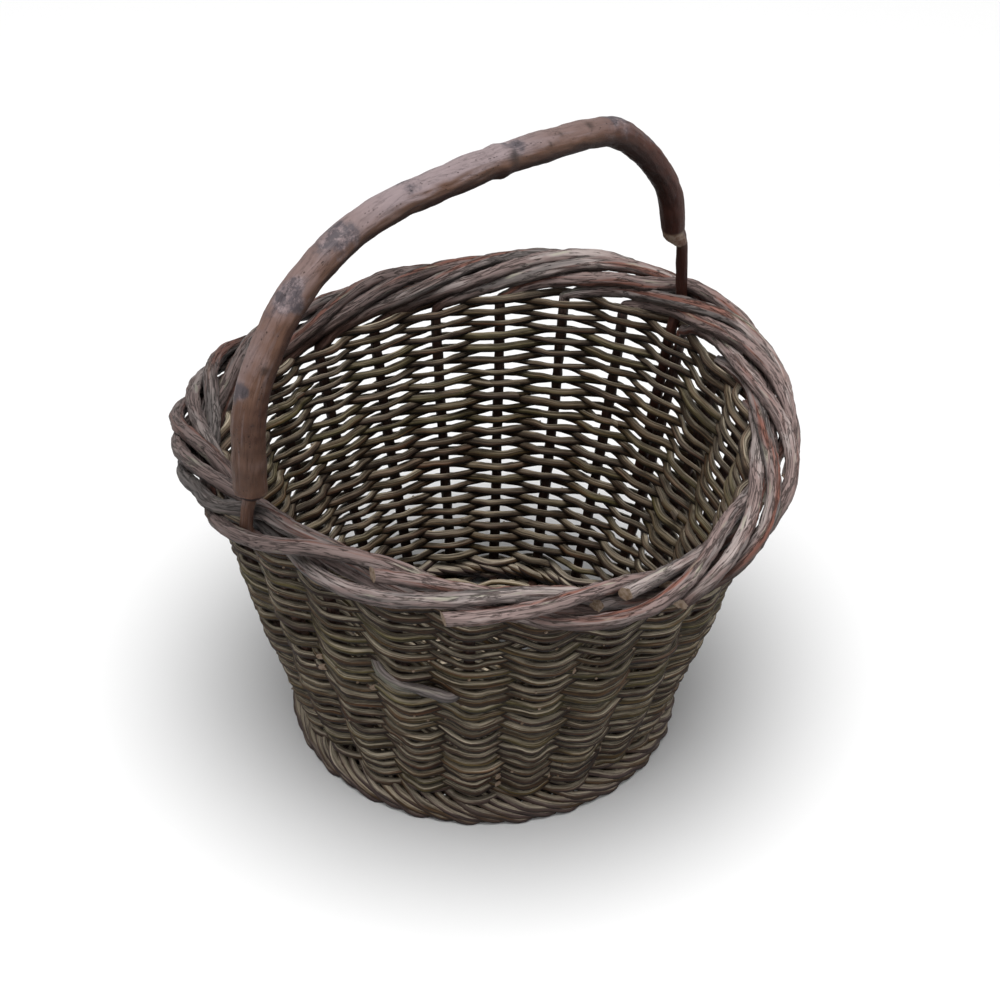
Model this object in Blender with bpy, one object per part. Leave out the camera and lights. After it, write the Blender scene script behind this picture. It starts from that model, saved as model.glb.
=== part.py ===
"""Round willow foraging basket with a fixed bow handle, as separate rods and rounds of weaving.

Metres, +Z up. The origin is on the ground under the centre of the base. The handle stands over the X axis, with
its thick end at -X. The stakes start in the base, rise through the wall and lie down into the border. Two
strands chase each other up the wall, one outside where the other is inside, each pieced from several rods.
"""

import math

import bpy
from mathutils import Vector

# How many of each
STICKS_EACH_WAY = 3
ENDS_PER_STICK = 2
STAKES_PER_STICK_END = 2
WALL_STRANDS = 2
RODS_PER_STRAND = 7
WALE_RODS = 3

# Overall sizes
RIM_OUTER_RADIUS = 0.200
RIM_MEAN_HEIGHT = 0.242
RIM_RISE = 0.014
FOOT_OUTER_RADIUS = 0.133
WALL_BELLY = 0.004
HANDLE_TOP_HEIGHT = 0.425

# Rods
STAKE_RADIUS = 0.0040
WALE_ROD_RADIUS = 0.0033
STICK_RADIUS = 0.0045
TIE_RADIUS = 0.0022
WEAVER_THICKNESS = 0.0035
BASE_WEAVER_THICKNESS = 0.0035
BASE_COURSE_WIDTH = 0.0126
HANDLE_BUTT_RADIUS = 0.0103
HANDLE_TIP_RADIUS = 0.0078
TAIL_RADIUS = 0.0040

# Clearances between rods
CLEARANCE = 0.0004
COURSE_GAP = 0.0006
ROUND_GAP = 0.0004
WEAVER_END_GAP = 0.0008
WALE_ROD_GAP = 0.0037
BORDER_ROD_GAP = 0.0013
TIE_GAP = 0.0006
KINK_GAP = 0.0014
WALE_STAND = 0.0012
WEAVER_GAP = 0.0006
HANDLE_ROD_GAP = 0.0012

# Base
BASE_LIFT = 0.005
BASE_DOME = 0.012
TIE_RING_RADIUS = 0.033
BASE_WEAVE_INNER_RADIUS = 0.0425
BASE_WEAVE_EDGE_GAP = 0.002
STAKE_TIP_RADIUS = 0.070
FLAT_DEPTH = 0.0008

# Wall
WEAVER_END_RUN = 0.0022

# Border
STAKE_BEND_RADIUS = 0.006
BORDER_FLATTEN = 0.003
BORDER_OVERHANG = 0.0115
BORDER_TURN = math.radians(71)
BORDER_FIRST_ANGLE = math.radians(215)
BORDER_SPAN_STAGES = 5

# Handle: each end is cut away in a notch, and what is left of it runs down through the border
BUTT_NOTCH_HEIGHT = 0.014
BUTT_NOTCH_DROP = 0.005
BUTT_NOTCH_SHIFT = 0.0035
TIP_NOTCH_HEIGHT = 0.046
TIP_NOTCH_DROP = 0.012
TIP_NOTCH_SHIFT = 0.0117
TAIL_LEAN = 0.0025
TAIL_BOTTOM_SHARE = 0.42
TAIL_SHARES = (TAIL_BOTTOM_SHARE, 0.6, 0.8, 1.0)
HANDLE_SHAPE_SHARES = (
    (-0.98, 0.25), (-0.965, 0.44), (-0.918, 0.59), (-0.818, 0.765), (-0.695, 0.885), (-0.554, 0.965),
    (-0.393, 1.0), (-0.227, 1.0), (-0.052, 0.998), (0.12, 0.98), (0.30, 0.957), (0.465, 0.93),
    (0.605, 0.88), (0.735, 0.755), (0.835, 0.62), (0.9, 0.49), (0.925, 0.37),
)
HANDLE_TAPER_POWER = 3
HANDLE_STEPS = 2

# Colours, linear
HANDLE_BARK = (0.150, 0.085, 0.075)
STAKE_BARK = (0.270, 0.165, 0.140)
WEAVER_BROWN = (0.250, 0.150, 0.080)
WALE_PURPLE = (0.200, 0.140, 0.135)
BASE_TAN = (0.330, 0.240, 0.140)
BARK_ROUGHNESS = 0.6
TINT_STEP_SHARE = 0.06
TINT_STEPS = 5

# Derived counts and angles
STICK_ENDS = 2 * STICKS_EACH_WAY * ENDS_PER_STICK
STAKES = STICK_ENDS * STAKES_PER_STICK_END
PITCH = math.tau / STAKES
STICK_PITCH = math.tau / STICK_ENDS
THIRD_TURN = math.tau / WALE_RODS


def crest(gap, run, level=0.0):
    """How far a weaver's crest stands off a rod, so that its slanting runs clear the rod's middle by gap."""
    height = gap
    for _ in range(12):
        height = gap * math.hypot(1, 2 * (height - level) / run)
    return height


# Border, seen in a cut through the rim: its rods wind over an ellipse
BORDER_HALF_HEIGHT = (2 * STAKE_RADIUS + BORDER_ROD_GAP) / (2 * math.sin(BORDER_TURN / 2))
BORDER_HALF_WIDTH = BORDER_HALF_HEIGHT + BORDER_FLATTEN
BORDER_CENTRE_RADIUS = RIM_OUTER_RADIUS - BORDER_HALF_WIDTH - STAKE_RADIUS
BORDER_CENTRE_HEIGHT = RIM_MEAN_HEIGHT - BORDER_HALF_HEIGHT - STAKE_RADIUS
BORDER_DROP = (
    2 * STAKE_RADIUS + BORDER_ROD_GAP - BORDER_HALF_HEIGHT * math.sin(BORDER_FIRST_ANGLE)
)
WALL_TOP_RADIUS = BORDER_CENTRE_RADIUS - BORDER_OVERHANG
HANDLE_RIM_MIDDLE = BORDER_CENTRE_HEIGHT + RIM_RISE
HANDLE_RIM_TOP = HANDLE_RIM_MIDDLE + BORDER_HALF_HEIGHT + STAKE_RADIUS

# Foot wale and the stakes' kink inside it
FOOT_RUN = (FOOT_OUTER_RADIUS - 4 * WALE_ROD_RADIUS) * PITCH
WALE_CREST = crest(STAKE_RADIUS + WALE_ROD_RADIUS + CLEARANCE, FOOT_RUN * (1 - 1 / STICK_ENDS))
WALL_FOOT_RADIUS = FOOT_OUTER_RADIUS - WALE_CREST - WALE_ROD_RADIUS
KINK_RADIUS = (STAKE_RADIUS + WALE_ROD_RADIUS + KINK_GAP) / math.cos(math.pi / 8)
BASE_EDGE_HEIGHT = BASE_LIFT + STAKE_RADIUS
BASE_EDGE_RADIUS = WALL_FOOT_RADIUS - KINK_RADIUS
WALE_HALF_HEIGHT = (2 * WALE_ROD_RADIUS + WALE_ROD_GAP) / (2 * math.sin(THIRD_TURN))
WALE_BEHIND_HEIGHT = BASE_EDGE_HEIGHT + KINK_RADIUS + WALE_STAND
WALE_UNDERSIDE = WALE_ROD_RADIUS * math.cos(math.pi / 6)
WALE_FRONT_HEIGHT = WALE_UNDERSIDE - FLAT_DEPTH + WALE_HALF_HEIGHT * math.sin(THIRD_TURN)
WALE_CENTRE_HEIGHT = (WALE_BEHIND_HEIGHT + WALE_FRONT_HEIGHT) / 2
WALE_LEAN = (WALE_BEHIND_HEIGHT - WALE_FRONT_HEIGHT) / 2
STICK_END_RADIUS = WALL_FOOT_RADIUS - WALE_CREST - WALE_ROD_RADIUS - CLEARANCE
BASE_WEAVE_WIDTH = STICK_END_RADIUS - BASE_WEAVE_EDGE_GAP - BASE_WEAVE_INNER_RADIUS
BASE_COURSES = max(round(BASE_WEAVE_WIDTH / BASE_COURSE_WIDTH), 1)
BASE_COURSE_PITCH = BASE_WEAVE_WIDTH / BASE_COURSES

# Wall, between the foot wale and the border
WEAVE_BOTTOM = (
    max(WALE_CENTRE_HEIGHT + WALE_HALF_HEIGHT * math.sin(THIRD_TURN), WALE_BEHIND_HEIGHT)
    + WALE_ROD_RADIUS
    + COURSE_GAP
)
WEAVE_TOP = BORDER_CENTRE_HEIGHT - BORDER_DROP - STAKE_BEND_RADIUS
LEAST_WALL_RUN = math.hypot(WEAVE_TOP - RIM_RISE - WEAVE_BOTTOM, WALL_TOP_RADIUS - WALL_FOOT_RADIUS)
STRAND_TURNS = int((LEAST_WALL_RUN / (WEAVER_THICKNESS + ROUND_GAP) - 1) / WALL_STRANDS)
WALL_ROUNDS = WALL_STRANDS * STRAND_TURNS


def wall_radius(share):
    """Radius of the wall's middle at a share of the height of its weaving."""
    straight = WALL_FOOT_RADIUS + (WALL_TOP_RADIUS - WALL_FOOT_RADIUS) * share
    return straight + WALL_BELLY * 4 * share * (1 - share)


def wall_lean(share):
    """Angle of the wall from upright."""
    spread = WALL_TOP_RADIUS - WALL_FOOT_RADIUS + WALL_BELLY * 4 * (1 - 2 * share)
    return math.atan2(spread, WEAVE_TOP - WEAVE_BOTTOM)


def rim_lift(angle):
    """How much higher the rim stands at this angle than its mean."""
    return RIM_RISE * math.cos(2 * angle)


def at(radius, angle, height):
    return Vector((radius * math.cos(angle), radius * math.sin(angle), height))


def wall_point(share, angle, off=0.0):
    """A point of the wall, moved off along the wall's outward normal."""
    lean = wall_lean(share)
    height = WEAVE_BOTTOM + (WEAVE_TOP + rim_lift(angle) - WEAVE_BOTTOM) * share
    return at(wall_radius(share) + off * math.cos(lean), angle, height - off * math.sin(lean))


# The handle's tail shares a channel of the weave with a stake, so the stakes stand back from its plane
TAIL_ANGLE = (STAKE_RADIUS + TAIL_RADIUS + CLEARANCE) / wall_radius(TAIL_BOTTOM_SHARE)
TAIL_SIDES = (0, STAKES // 2)


def channel_angle(index):
    """Middle of the channel that a stake stands in."""
    return PITCH * index - TAIL_ANGLE / 2


def stake_angle(index):
    return channel_angle(index) - (TAIL_ANGLE / 2 if index % STAKES in TAIL_SIDES else 0)


def stick_angle(end):
    """Middle between the two stakes that stand beside one end of a base stick."""
    return channel_angle(STAKES_PER_STICK_END * end + 0.5)


def border_offset(stage):
    """(out, up) from the border's middle, at a stage counted in stakes passed."""
    turned = BORDER_FIRST_ANGLE - max(stage - 1, 0) * BORDER_TURN
    out, up = BORDER_HALF_WIDTH * math.cos(turned), BORDER_HALF_HEIGHT * math.sin(turned)
    left = max(1 - stage, 0)
    return out + (-BORDER_OVERHANG - out) * left, up + (-BORDER_DROP - up) * left


# Stage at which a rod of the border passes the handle's plane, and how many more lie inside each tail there
FIRST_STAGE = 1 - TAIL_ANGLE / 2 / PITCH
RODS_INSIDE_TIP = 1
RODS_INSIDE_BUTT = 2


def tail_seat(rods_inside):
    """How far out from the border's middle a tail passes through it."""
    inner, outer = (border_offset(FIRST_STAGE + rods_inside + step)[0] for step in (0, 1))
    return (inner + outer) / 2


def tail_offset(up, rods_inside):
    """(out, slope) of a tail, relative to the border's middle, at a height up from it."""
    low = -BORDER_DROP - STAKE_BEND_RADIUS
    seat = tail_seat(rods_inside)
    if up >= -STAKE_RADIUS:
        return seat, 0.0
    slope = (seat + BORDER_OVERHANG) / (-STAKE_RADIUS - low)
    return seat + slope * (up + STAKE_RADIUS), slope


def parted_offset(stage, rods_inside):
    """border_offset in the handle's plane, where the rods stand apart to let a tail through."""
    out, up = border_offset(stage)
    seat, slope = tail_offset(up, rods_inside)
    apart = (STAKE_RADIUS + TAIL_RADIUS + HANDLE_ROD_GAP) * math.hypot(1, slope)
    from_seat = stage - FIRST_STAGE - rods_inside
    if from_seat < 0.5:
        return min(out, seat - apart), up
    if from_seat < 1.5:
        return max(out, seat + apart), up
    return max(out + HANDLE_ROD_GAP, seat + apart), up - HANDLE_ROD_GAP


def base_height(radius):
    """Height of the middle of the base's sticks."""
    return BASE_EDGE_HEIGHT + BASE_DOME * (1 - (radius / BASE_EDGE_RADIUS) ** 2)


def base_slope(radius):
    """Angle at which the base falls away outwards at this radius."""
    return math.atan(2 * BASE_DOME * radius / BASE_EDGE_RADIUS**2)


def clear_scene():
    for obj in list(bpy.data.objects):
        bpy.data.objects.remove(obj, do_unlink=True)


def new_collection(name, hidden=False):
    made = bpy.data.collections.new(name)
    made.hide_render = hidden
    bpy.context.scene.collection.children.link(made)
    return made


def bark(name, colour, index=0):
    """A Principled material, each a little lighter or darker than the last."""
    shade = 1 + TINT_STEP_SHARE * (index % TINT_STEPS - TINT_STEPS // 2)
    made = bpy.data.materials.new(name)
    made.use_nodes = True
    surface = made.node_tree.nodes["Principled BSDF"]
    surface.inputs["Base Color"].default_value = (*(channel * shade for channel in colour), 1)
    surface.inputs["Roughness"].default_value = BARK_ROUGHNESS
    surface.inputs["Metallic"].default_value = 0
    made.diffuse_color = (*(channel * shade for channel in colour), 1)
    return made


def rod(name, points, radius, colour, index=0, closed=False, upright=False, swell=None, sides=1):
    """A rod as a curve along points. swell gives each point's thickness as a share of radius."""
    curve = bpy.data.curves.new(name, "CURVE")
    curve.dimensions = "3D"
    curve.bevel_depth = radius
    curve.bevel_resolution = sides
    curve.use_fill_caps = True
    curve.twist_mode = "Z_UP" if closed or upright else "MINIMUM"
    spline = curve.splines.new("POLY")
    spline.points.add(len(points) - 1)
    for step, (place, point) in enumerate(zip(spline.points, points)):
        place.co = (*point, 1)
        place.radius = swell[step] if swell else 1
    spline.use_cyclic_u = closed
    made = bpy.data.objects.new(name, curve)
    curve.materials.append(bark(name + "_bark", colour, index))
    PARTS.objects.link(made)
    return made


def strip(name, points, thickness, half_width, tilt, colour, index):
    """A flat closed band of weaving, half_width either side of its middle line and tilted from upright."""
    made = rod(name, points, thickness / 2, colour, index, closed=True, sides=0)
    made.data.extrude = half_width - thickness / 2
    for point in made.data.splines[0].points:
        point.tilt = tilt
    return made


def stake_plan_angle(index, radius):
    """Angle of a stake's foot at a radius in the base: it runs straight from beside its stick to its place."""
    end = index // STAKES_PER_STICK_END
    side = 1 if index % STAKES_PER_STICK_END else -1
    beside = side * (STICK_RADIUS + STAKE_RADIUS + CLEARANCE) / STAKE_TIP_RADIUS
    tip = at(STAKE_TIP_RADIUS, stick_angle(end) + beside, 0)
    edge = at(BASE_EDGE_RADIUS, stake_angle(index), 0)
    share = (radius - STAKE_TIP_RADIUS) / (BASE_EDGE_RADIUS - STAKE_TIP_RADIUS)
    spot = tip.lerp(edge, share)
    return math.atan2(spot.y, spot.x)


def border_point(index, step):
    """A point of a stake's run along the border, half a stake's spacing past the last."""
    stage = FIRST_STAGE + (step - 1) / 2
    passed, halfway = divmod(step - 1, 2)
    channel = (index - 1 - passed) % STAKES
    if channel in TAIL_SIDES and not halfway:
        out, up = parted_offset(stage, RODS_INSIDE_BUTT if channel else RODS_INSIDE_TIP)
    else:
        out, up = border_offset(stage)
    angle = channel_angle(index) - stage * PITCH
    return at(BORDER_CENTRE_RADIUS + out, angle, BORDER_CENTRE_HEIGHT + rim_lift(angle) + up)


def stake_points(index):
    """From the base, out and up through the wall, and along the border to the cut tip."""
    angle = stake_angle(index)
    points = [
        at(radius, stake_plan_angle(index, radius), base_height(radius))
        for radius in (STAKE_TIP_RADIUS, (STAKE_TIP_RADIUS + BASE_EDGE_RADIUS) / 2)
    ]
    for turn in (0, math.pi / 4, math.pi / 2):
        radius = BASE_EDGE_RADIUS + KINK_RADIUS * math.sin(turn)
        points.append(at(radius, angle, BASE_EDGE_HEIGHT + KINK_RADIUS * (1 - math.cos(turn))))
    points += [wall_point(step / 3, angle) for step in range(4)]
    bend = STAKE_BEND_RADIUS / BORDER_CENTRE_RADIUS
    foot = BORDER_CENTRE_HEIGHT - BORDER_DROP - STAKE_BEND_RADIUS
    for turn in (math.pi / 4, math.pi / 2):
        along = angle - bend * (1 - math.cos(turn))
        up = foot + rim_lift(along) + STAKE_BEND_RADIUS * math.sin(turn)
        points.append(at(WALL_TOP_RADIUS, along, up))
    return points + [border_point(index, step) for step in range(2 * BORDER_SPAN_STAGES + 1)]


def stakes():
    for index in range(STAKES):
        rod(f"stake_{index + 1:02d}", stake_points(index), STAKE_RADIUS, STAKE_BARK, index)


def wall_crests():
    """(index, angle) of each place where a weaver bears on a rod: every stake, and the handle's two tails."""
    places = []
    for index in range(STAKES):
        places.append((index, stake_angle(index)))
        if index in TAIL_SIDES:
            places.append((index, stake_angle(index) + TAIL_ANGLE))
    return places


def strand_places(strand):
    """(index, angle) of each place where a strand of the wall bears on a rod, as it climbs from foot to rim."""
    ring = wall_crests()
    start = len(ring) * strand // WALL_STRANDS
    places = []
    for count in range(start, start + STRAND_TURNS * len(ring) + 1):
        turns, place = divmod(count, len(ring))
        index, angle = ring[place]
        places.append((index, angle + math.tau * turns))
    return places


def strand_joints(places, strand):
    """Places where the rods of a strand meet end to end, each behind a stake."""
    hidden = [
        count for count, (index, _) in enumerate(places)
        if (index + strand) % WALL_STRANDS == 0 and index not in TAIL_SIDES
    ]
    last = len(hidden) - 1
    return [hidden[round(last * number / RODS_PER_STRAND)] for number in range(RODS_PER_STRAND + 1)]


def strand_point(climbed, angle, side):
    """(point, wall's lean) of a strand that has climbed so far round, outside the stakes or inside them."""
    share = (WALL_STRANDS * climbed / math.tau + 0.5) / (WALL_ROUNDS + 1)
    run = wall_radius(share) * (PITCH - TAIL_ANGLE / 2) - WEAVER_END_RUN
    off = crest(STAKE_RADIUS + WEAVER_THICKNESS / 2 + WEAVER_GAP, run)
    return wall_point(share, angle, off * side), wall_lean(share)


def wall_courses():
    """Rods of square section, each several times round the wall, laid one above another in two strands."""
    for strand in range(WALL_STRANDS):
        places = strand_places(strand)
        joints = strand_joints(places, strand)
        for number, (first, last) in enumerate(zip(joints, joints[1:])):
            stops = [
                (angle, 1 if (index + strand) % WALL_STRANDS else -1) for index, angle in places[first:last + 1]
            ]
            start, end = stops[0][0], stops[-1][0]
            stops[0] = (start + WEAVER_END_GAP / 2 / WALL_FOOT_RADIUS, -1)
            stops[-1] = (end - WEAVER_END_GAP / 2 / WALL_FOOT_RADIUS, -1)
            stops.insert(1, (start + WEAVER_END_RUN / WALL_FOOT_RADIUS, -1))
            stops.insert(-1, (end - WEAVER_END_RUN / WALL_FOOT_RADIUS, -1))
            made = [strand_point(angle - places[0][1], angle, side) for angle, side in stops]
            course = WALL_STRANDS * number + strand
            weaver = rod(
                f"wall_course_{course + 1:02d}", [point for point, _ in made], WEAVER_THICKNESS / math.sqrt(2),
                WEAVER_BROWN, course, upright=True, sides=0,
            )
            for place, (_, lean) in zip(weaver.data.splines[0].points, made):
                place.tilt = lean + math.pi / 4


def wale_point(stage, angle):
    """A foot wale rod passes behind one stake and in front of two, a third of a turn at each."""
    turned = math.pi - THIRD_TURN * stage
    out = {0.0: -1, 0.5: 0, 2.5: 0}.get(stage % WALE_RODS, 1)
    up = WALE_HALF_HEIGHT * math.sin(turned) - WALE_LEAN * out
    return at(WALL_FOOT_RADIUS + WALE_CREST * out, angle, WALE_CENTRE_HEIGHT + up)


def foot_wale():
    """Three rods twined round the stakes' feet. They carry the basket, so their undersides are worn flat."""
    bpy.ops.mesh.primitive_cube_add(size=1)
    ground = bpy.context.object
    ground.name = "ground_cutter"
    ground.scale = (4 * RIM_OUTER_RADIUS, 4 * RIM_OUTER_RADIUS, RIM_OUTER_RADIUS)
    ground.location.z = -RIM_OUTER_RADIUS / 2
    ground.hide_render = True
    ground.display_type = "WIRE"
    for holder in list(ground.users_collection):
        holder.objects.unlink(ground)
    CUTTERS.objects.link(ground)
    for number in range(WALE_RODS):
        points = []
        for index in range(STAKES):
            middle = (stake_angle(index) + stake_angle(index + 1)) / 2
            points.append(wale_point(index + number, stake_angle(index)))
            points.append(wale_point(index + number + 0.5, middle))
        name = f"foot_wale_rod_{number + 1}"
        made = rod(name, points, WALE_ROD_RADIUS, WALE_PURPLE, number, closed=True)
        cut_flat(made, ground)


def cut_flat(made, cutter):
    """The rod as a mesh, cut off where it reaches below the ground."""
    graph = bpy.context.evaluated_depsgraph_get()
    mesh = bpy.data.meshes.new_from_object(made.evaluated_get(graph))
    name = made.name
    solid = bpy.data.objects.new(name, mesh)
    solid.matrix_world = made.matrix_world
    bpy.data.objects.remove(made, do_unlink=True)
    solid.name = name
    PARTS.objects.link(solid)
    flat = solid.modifiers.new("flat_underside", "BOOLEAN")
    flat.operation = "DIFFERENCE"
    flat.solver = "EXACT"
    flat.object = cutter


def layer_offset(radius):
    """How far the two crossing sets of sticks lie above and below the base's middle."""
    full = STICK_RADIUS + CLEARANCE / 2
    inner = 2 * (2 * STICK_RADIUS + CLEARANCE)
    outer = BASE_WEAVE_INNER_RADIUS
    return full * min(1, max(0, (outer - radius) / (outer - inner)))


def base_sticks():
    """Two sets of sticks laid across each other, their ends fanned out evenly."""
    beside = 2 * STICK_RADIUS + CLEARANCE
    half_set = STICKS_EACH_WAY // 2
    for across in (0, 1):
        for number in range(STICKS_EACH_WAY):
            place = number - half_set
            fan = STICK_PITCH * place
            parting = beside / math.sin(STICK_PITCH)
            middle_radius = (STICK_END_RADIUS + BASE_WEAVE_INNER_RADIUS) / 2
            radii = (STICK_END_RADIUS, middle_radius, BASE_WEAVE_INNER_RADIUS, parting)
            middle = stick_angle(0) + across * math.pi / 2
            up = -1 if across else 1
            half = [(radius, fan, base_height(radius) + up * layer_offset(radius)) for radius in radii]
            points = [at(radius, middle + turn, height) for radius, turn, height in half]
            points += [at(radius, middle + math.pi - turn, height) for radius, turn, height in reversed(half)]
            index = STICKS_EACH_WAY * across + number
            rod(f"base_stick_{index + 1}", points, STICK_RADIUS, BASE_TAN, index)


def base_tie():
    """The rod that binds the crossing sticks: under one set and over the other."""
    run = TIE_RING_RADIUS * STICK_PITCH
    level = layer_offset(TIE_RING_RADIUS)
    off = crest(STICK_RADIUS + TIE_RADIUS + TIE_GAP, run, level)
    points = []
    for end in range(STICK_ENDS):
        upper_set = (end + STICKS_EACH_WAY // 2) // STICKS_EACH_WAY % 2 == 0
        up = level - off if upper_set else off - level
        points.append(at(TIE_RING_RADIUS, stick_angle(end), base_height(TIE_RING_RADIUS) + up))
    rod("base_tie", points, TIE_RADIUS, BASE_TAN, 1, closed=True)


def base_courses():
    """Flat rounds of weaving, over and under the sticks and, further out, the stakes' feet beside them."""
    for course in range(BASE_COURSES):
        radius = BASE_WEAVE_INNER_RADIUS + BASE_COURSE_PITCH * (course + 0.5)
        past_tips = radius + BASE_COURSE_PITCH / 2 > STAKE_TIP_RADIUS - CLEARANCE
        places = []
        for end in range(STICK_ENDS):
            beside = range(STAKES_PER_STICK_END * end, STAKES_PER_STICK_END * (end + 1))
            if past_tips:
                places += [(end, stake_plan_angle(index, radius)) for index in beside]
            else:
                places.append((end, stick_angle(end)))
        steps = [
            (after[1] - before[1]) % math.tau
            for before, after in zip(places, places[1:] + places[:1])
            if before[0] != after[0]
        ]
        off = crest(STICK_RADIUS + BASE_WEAVER_THICKNESS / 2 + WEAVER_GAP, radius * min(steps))
        slope = base_slope(radius)
        points = []
        for end, angle in places:
            up = off if (end + course) % 2 else -off
            height = base_height(radius) + up * math.cos(slope)
            points.append(at(radius + up * math.sin(slope), angle, height))
        half_width = (BASE_COURSE_PITCH - COURSE_GAP) / 2
        strip(
            f"base_course_{course + 1}", points, BASE_WEAVER_THICKNESS, half_width, math.pi / 2 + slope,
            BASE_TAN, course,
        )


def smooth(points, steps):
    """Points of a smooth curve through the given ones."""
    made = []
    for index in range(len(points) - 1):
        before = points[max(index - 1, 0)]
        start, end = points[index], points[index + 1]
        after = points[min(index + 2, len(points) - 1)]
        for step in range(steps):
            share = step / steps
            pull = (end - before) * share + (2 * before - 5 * start + 4 * end - after) * share**2
            pull += (3 * start - before - 3 * end + after) * share**3
            made.append(start + pull / 2)
    made.append(points[-1])
    return made


def handle_span(rods_inside):
    """How far from the basket's middle a tail of the handle stands in the border."""
    return BORDER_CENTRE_RADIUS + tail_seat(rods_inside)


def handle_end(side, rods_inside, notch_height, notch_drop, notch_shift):
    """Points of one end of the handle: its tail from the bottom up, then the end of the bow above the notch."""
    span = handle_span(rods_inside)
    points = [wall_point(share, 0) for share in TAIL_SHARES]
    points.append(at(span, 0, HANDLE_RIM_MIDDLE - STAKE_RADIUS))
    points.append(at(span, 0, HANDLE_RIM_TOP))
    points.append(at(span - TAIL_LEAN, 0, HANDLE_RIM_TOP + notch_height - notch_drop))
    points.append(at(span - notch_shift, 0, HANDLE_RIM_TOP + notch_height))
    return [Vector((side * point.x, point.y, point.z)) for point in points]


def handle_bow():
    """One bent branch, thick end at -X, its ends notched and their outer halves pushed down beside a stake."""
    butt = handle_end(-1, RODS_INSIDE_BUTT, BUTT_NOTCH_HEIGHT, BUTT_NOTCH_DROP, BUTT_NOTCH_SHIFT)
    tip = handle_end(1, RODS_INSIDE_TIP, TIP_NOTCH_HEIGHT, TIP_NOTCH_DROP, TIP_NOTCH_SHIFT)
    rise = HANDLE_TOP_HEIGHT - HANDLE_BUTT_RADIUS - HANDLE_RIM_TOP
    bow = [butt.pop()]
    for out, up in HANDLE_SHAPE_SHARES:
        span = handle_span(RODS_INSIDE_TIP if out > 0 else RODS_INSIDE_BUTT)
        bow.append(Vector((span * out, 0, HANDLE_RIM_TOP + rise * up)))
    bow.append(tip.pop())
    bow = smooth(bow, HANDLE_STEPS)
    thin = TAIL_RADIUS / HANDLE_BUTT_RADIUS
    slim = HANDLE_TIP_RADIUS / HANDLE_BUTT_RADIUS
    swell = [1 + (slim - 1) * (step / (len(bow) - 1)) ** HANDLE_TAPER_POWER for step in range(len(bow))]
    rod(
        "handle_bow", butt + bow + tip[::-1], HANDLE_BUTT_RADIUS, HANDLE_BARK,
        swell=[thin] * len(butt) + swell + [thin] * len(tip), sides=2,
    )


clear_scene()
PARTS = new_collection("foraging_basket")
CUTTERS = new_collection("cutters", hidden=True)
base_sticks()
base_tie()
base_courses()
stakes()
foot_wale()
wall_courses()
handle_bow()
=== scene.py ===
"""The looks of a round willow foraging basket with a bow handle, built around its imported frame.

Metres, +Z up, in the frame's own axes. Each rod of the wall, the border, the foot and the base is a tube of
bark along its own path. Geometry Nodes lay the rods of the wall and give every rod its skin.
"""

import math

import bpy
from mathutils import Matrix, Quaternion, Vector


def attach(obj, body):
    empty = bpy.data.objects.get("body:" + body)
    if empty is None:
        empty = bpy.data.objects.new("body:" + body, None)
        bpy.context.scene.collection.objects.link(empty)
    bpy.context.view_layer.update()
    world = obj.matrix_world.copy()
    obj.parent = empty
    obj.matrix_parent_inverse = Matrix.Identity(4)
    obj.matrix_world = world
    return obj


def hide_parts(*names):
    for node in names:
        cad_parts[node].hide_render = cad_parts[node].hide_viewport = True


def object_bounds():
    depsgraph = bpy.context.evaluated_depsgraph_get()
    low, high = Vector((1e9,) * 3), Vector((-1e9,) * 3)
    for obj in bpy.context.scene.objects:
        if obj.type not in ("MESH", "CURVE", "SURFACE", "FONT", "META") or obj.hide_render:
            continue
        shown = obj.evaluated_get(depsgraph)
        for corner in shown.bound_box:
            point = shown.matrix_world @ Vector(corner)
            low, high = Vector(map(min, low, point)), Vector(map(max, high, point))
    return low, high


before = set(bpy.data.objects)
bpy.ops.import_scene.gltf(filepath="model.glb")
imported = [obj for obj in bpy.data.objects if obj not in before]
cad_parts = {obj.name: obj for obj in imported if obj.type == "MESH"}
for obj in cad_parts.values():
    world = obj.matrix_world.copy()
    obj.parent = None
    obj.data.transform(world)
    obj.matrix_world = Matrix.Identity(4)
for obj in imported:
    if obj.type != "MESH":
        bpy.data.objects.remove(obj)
CAD_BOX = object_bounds()

bl_info = {
    "name": "Willow foraging basket",
    "version": (1, 0, 0),
    "blender": (4, 5, 0),
    "location": "View3D > Sidebar > Basket",
    "description": "Dresses the frame of a woven basket with rods of willow bark and a bent branch handle",
    "category": "Object",
}

BODY = "root"
NODE_KINDS = ("wall_course_", "base_course_", "stake_", "foot_wale_rod_", "base_stick_")
WALL_COURSES, BASE_COURSES, STAKES, WALE_RODS, STICKS = (
    sum(name.startswith(kind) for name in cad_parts) for kind in NODE_KINDS
)
STRANDS = 2


def length(name, default, description):
    return bpy.props.FloatProperty(
        name=name, default=default, description=description, unit="LENGTH", precision=5
    )


def count(name, default, least, description):
    return bpy.props.IntProperty(name=name, default=default, min=least, description=description)


def colour(name, default, description):
    return bpy.props.FloatVectorProperty(
        name=name, default=default, description=description, subtype="COLOR", size=3, min=0, max=1
    )


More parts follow.
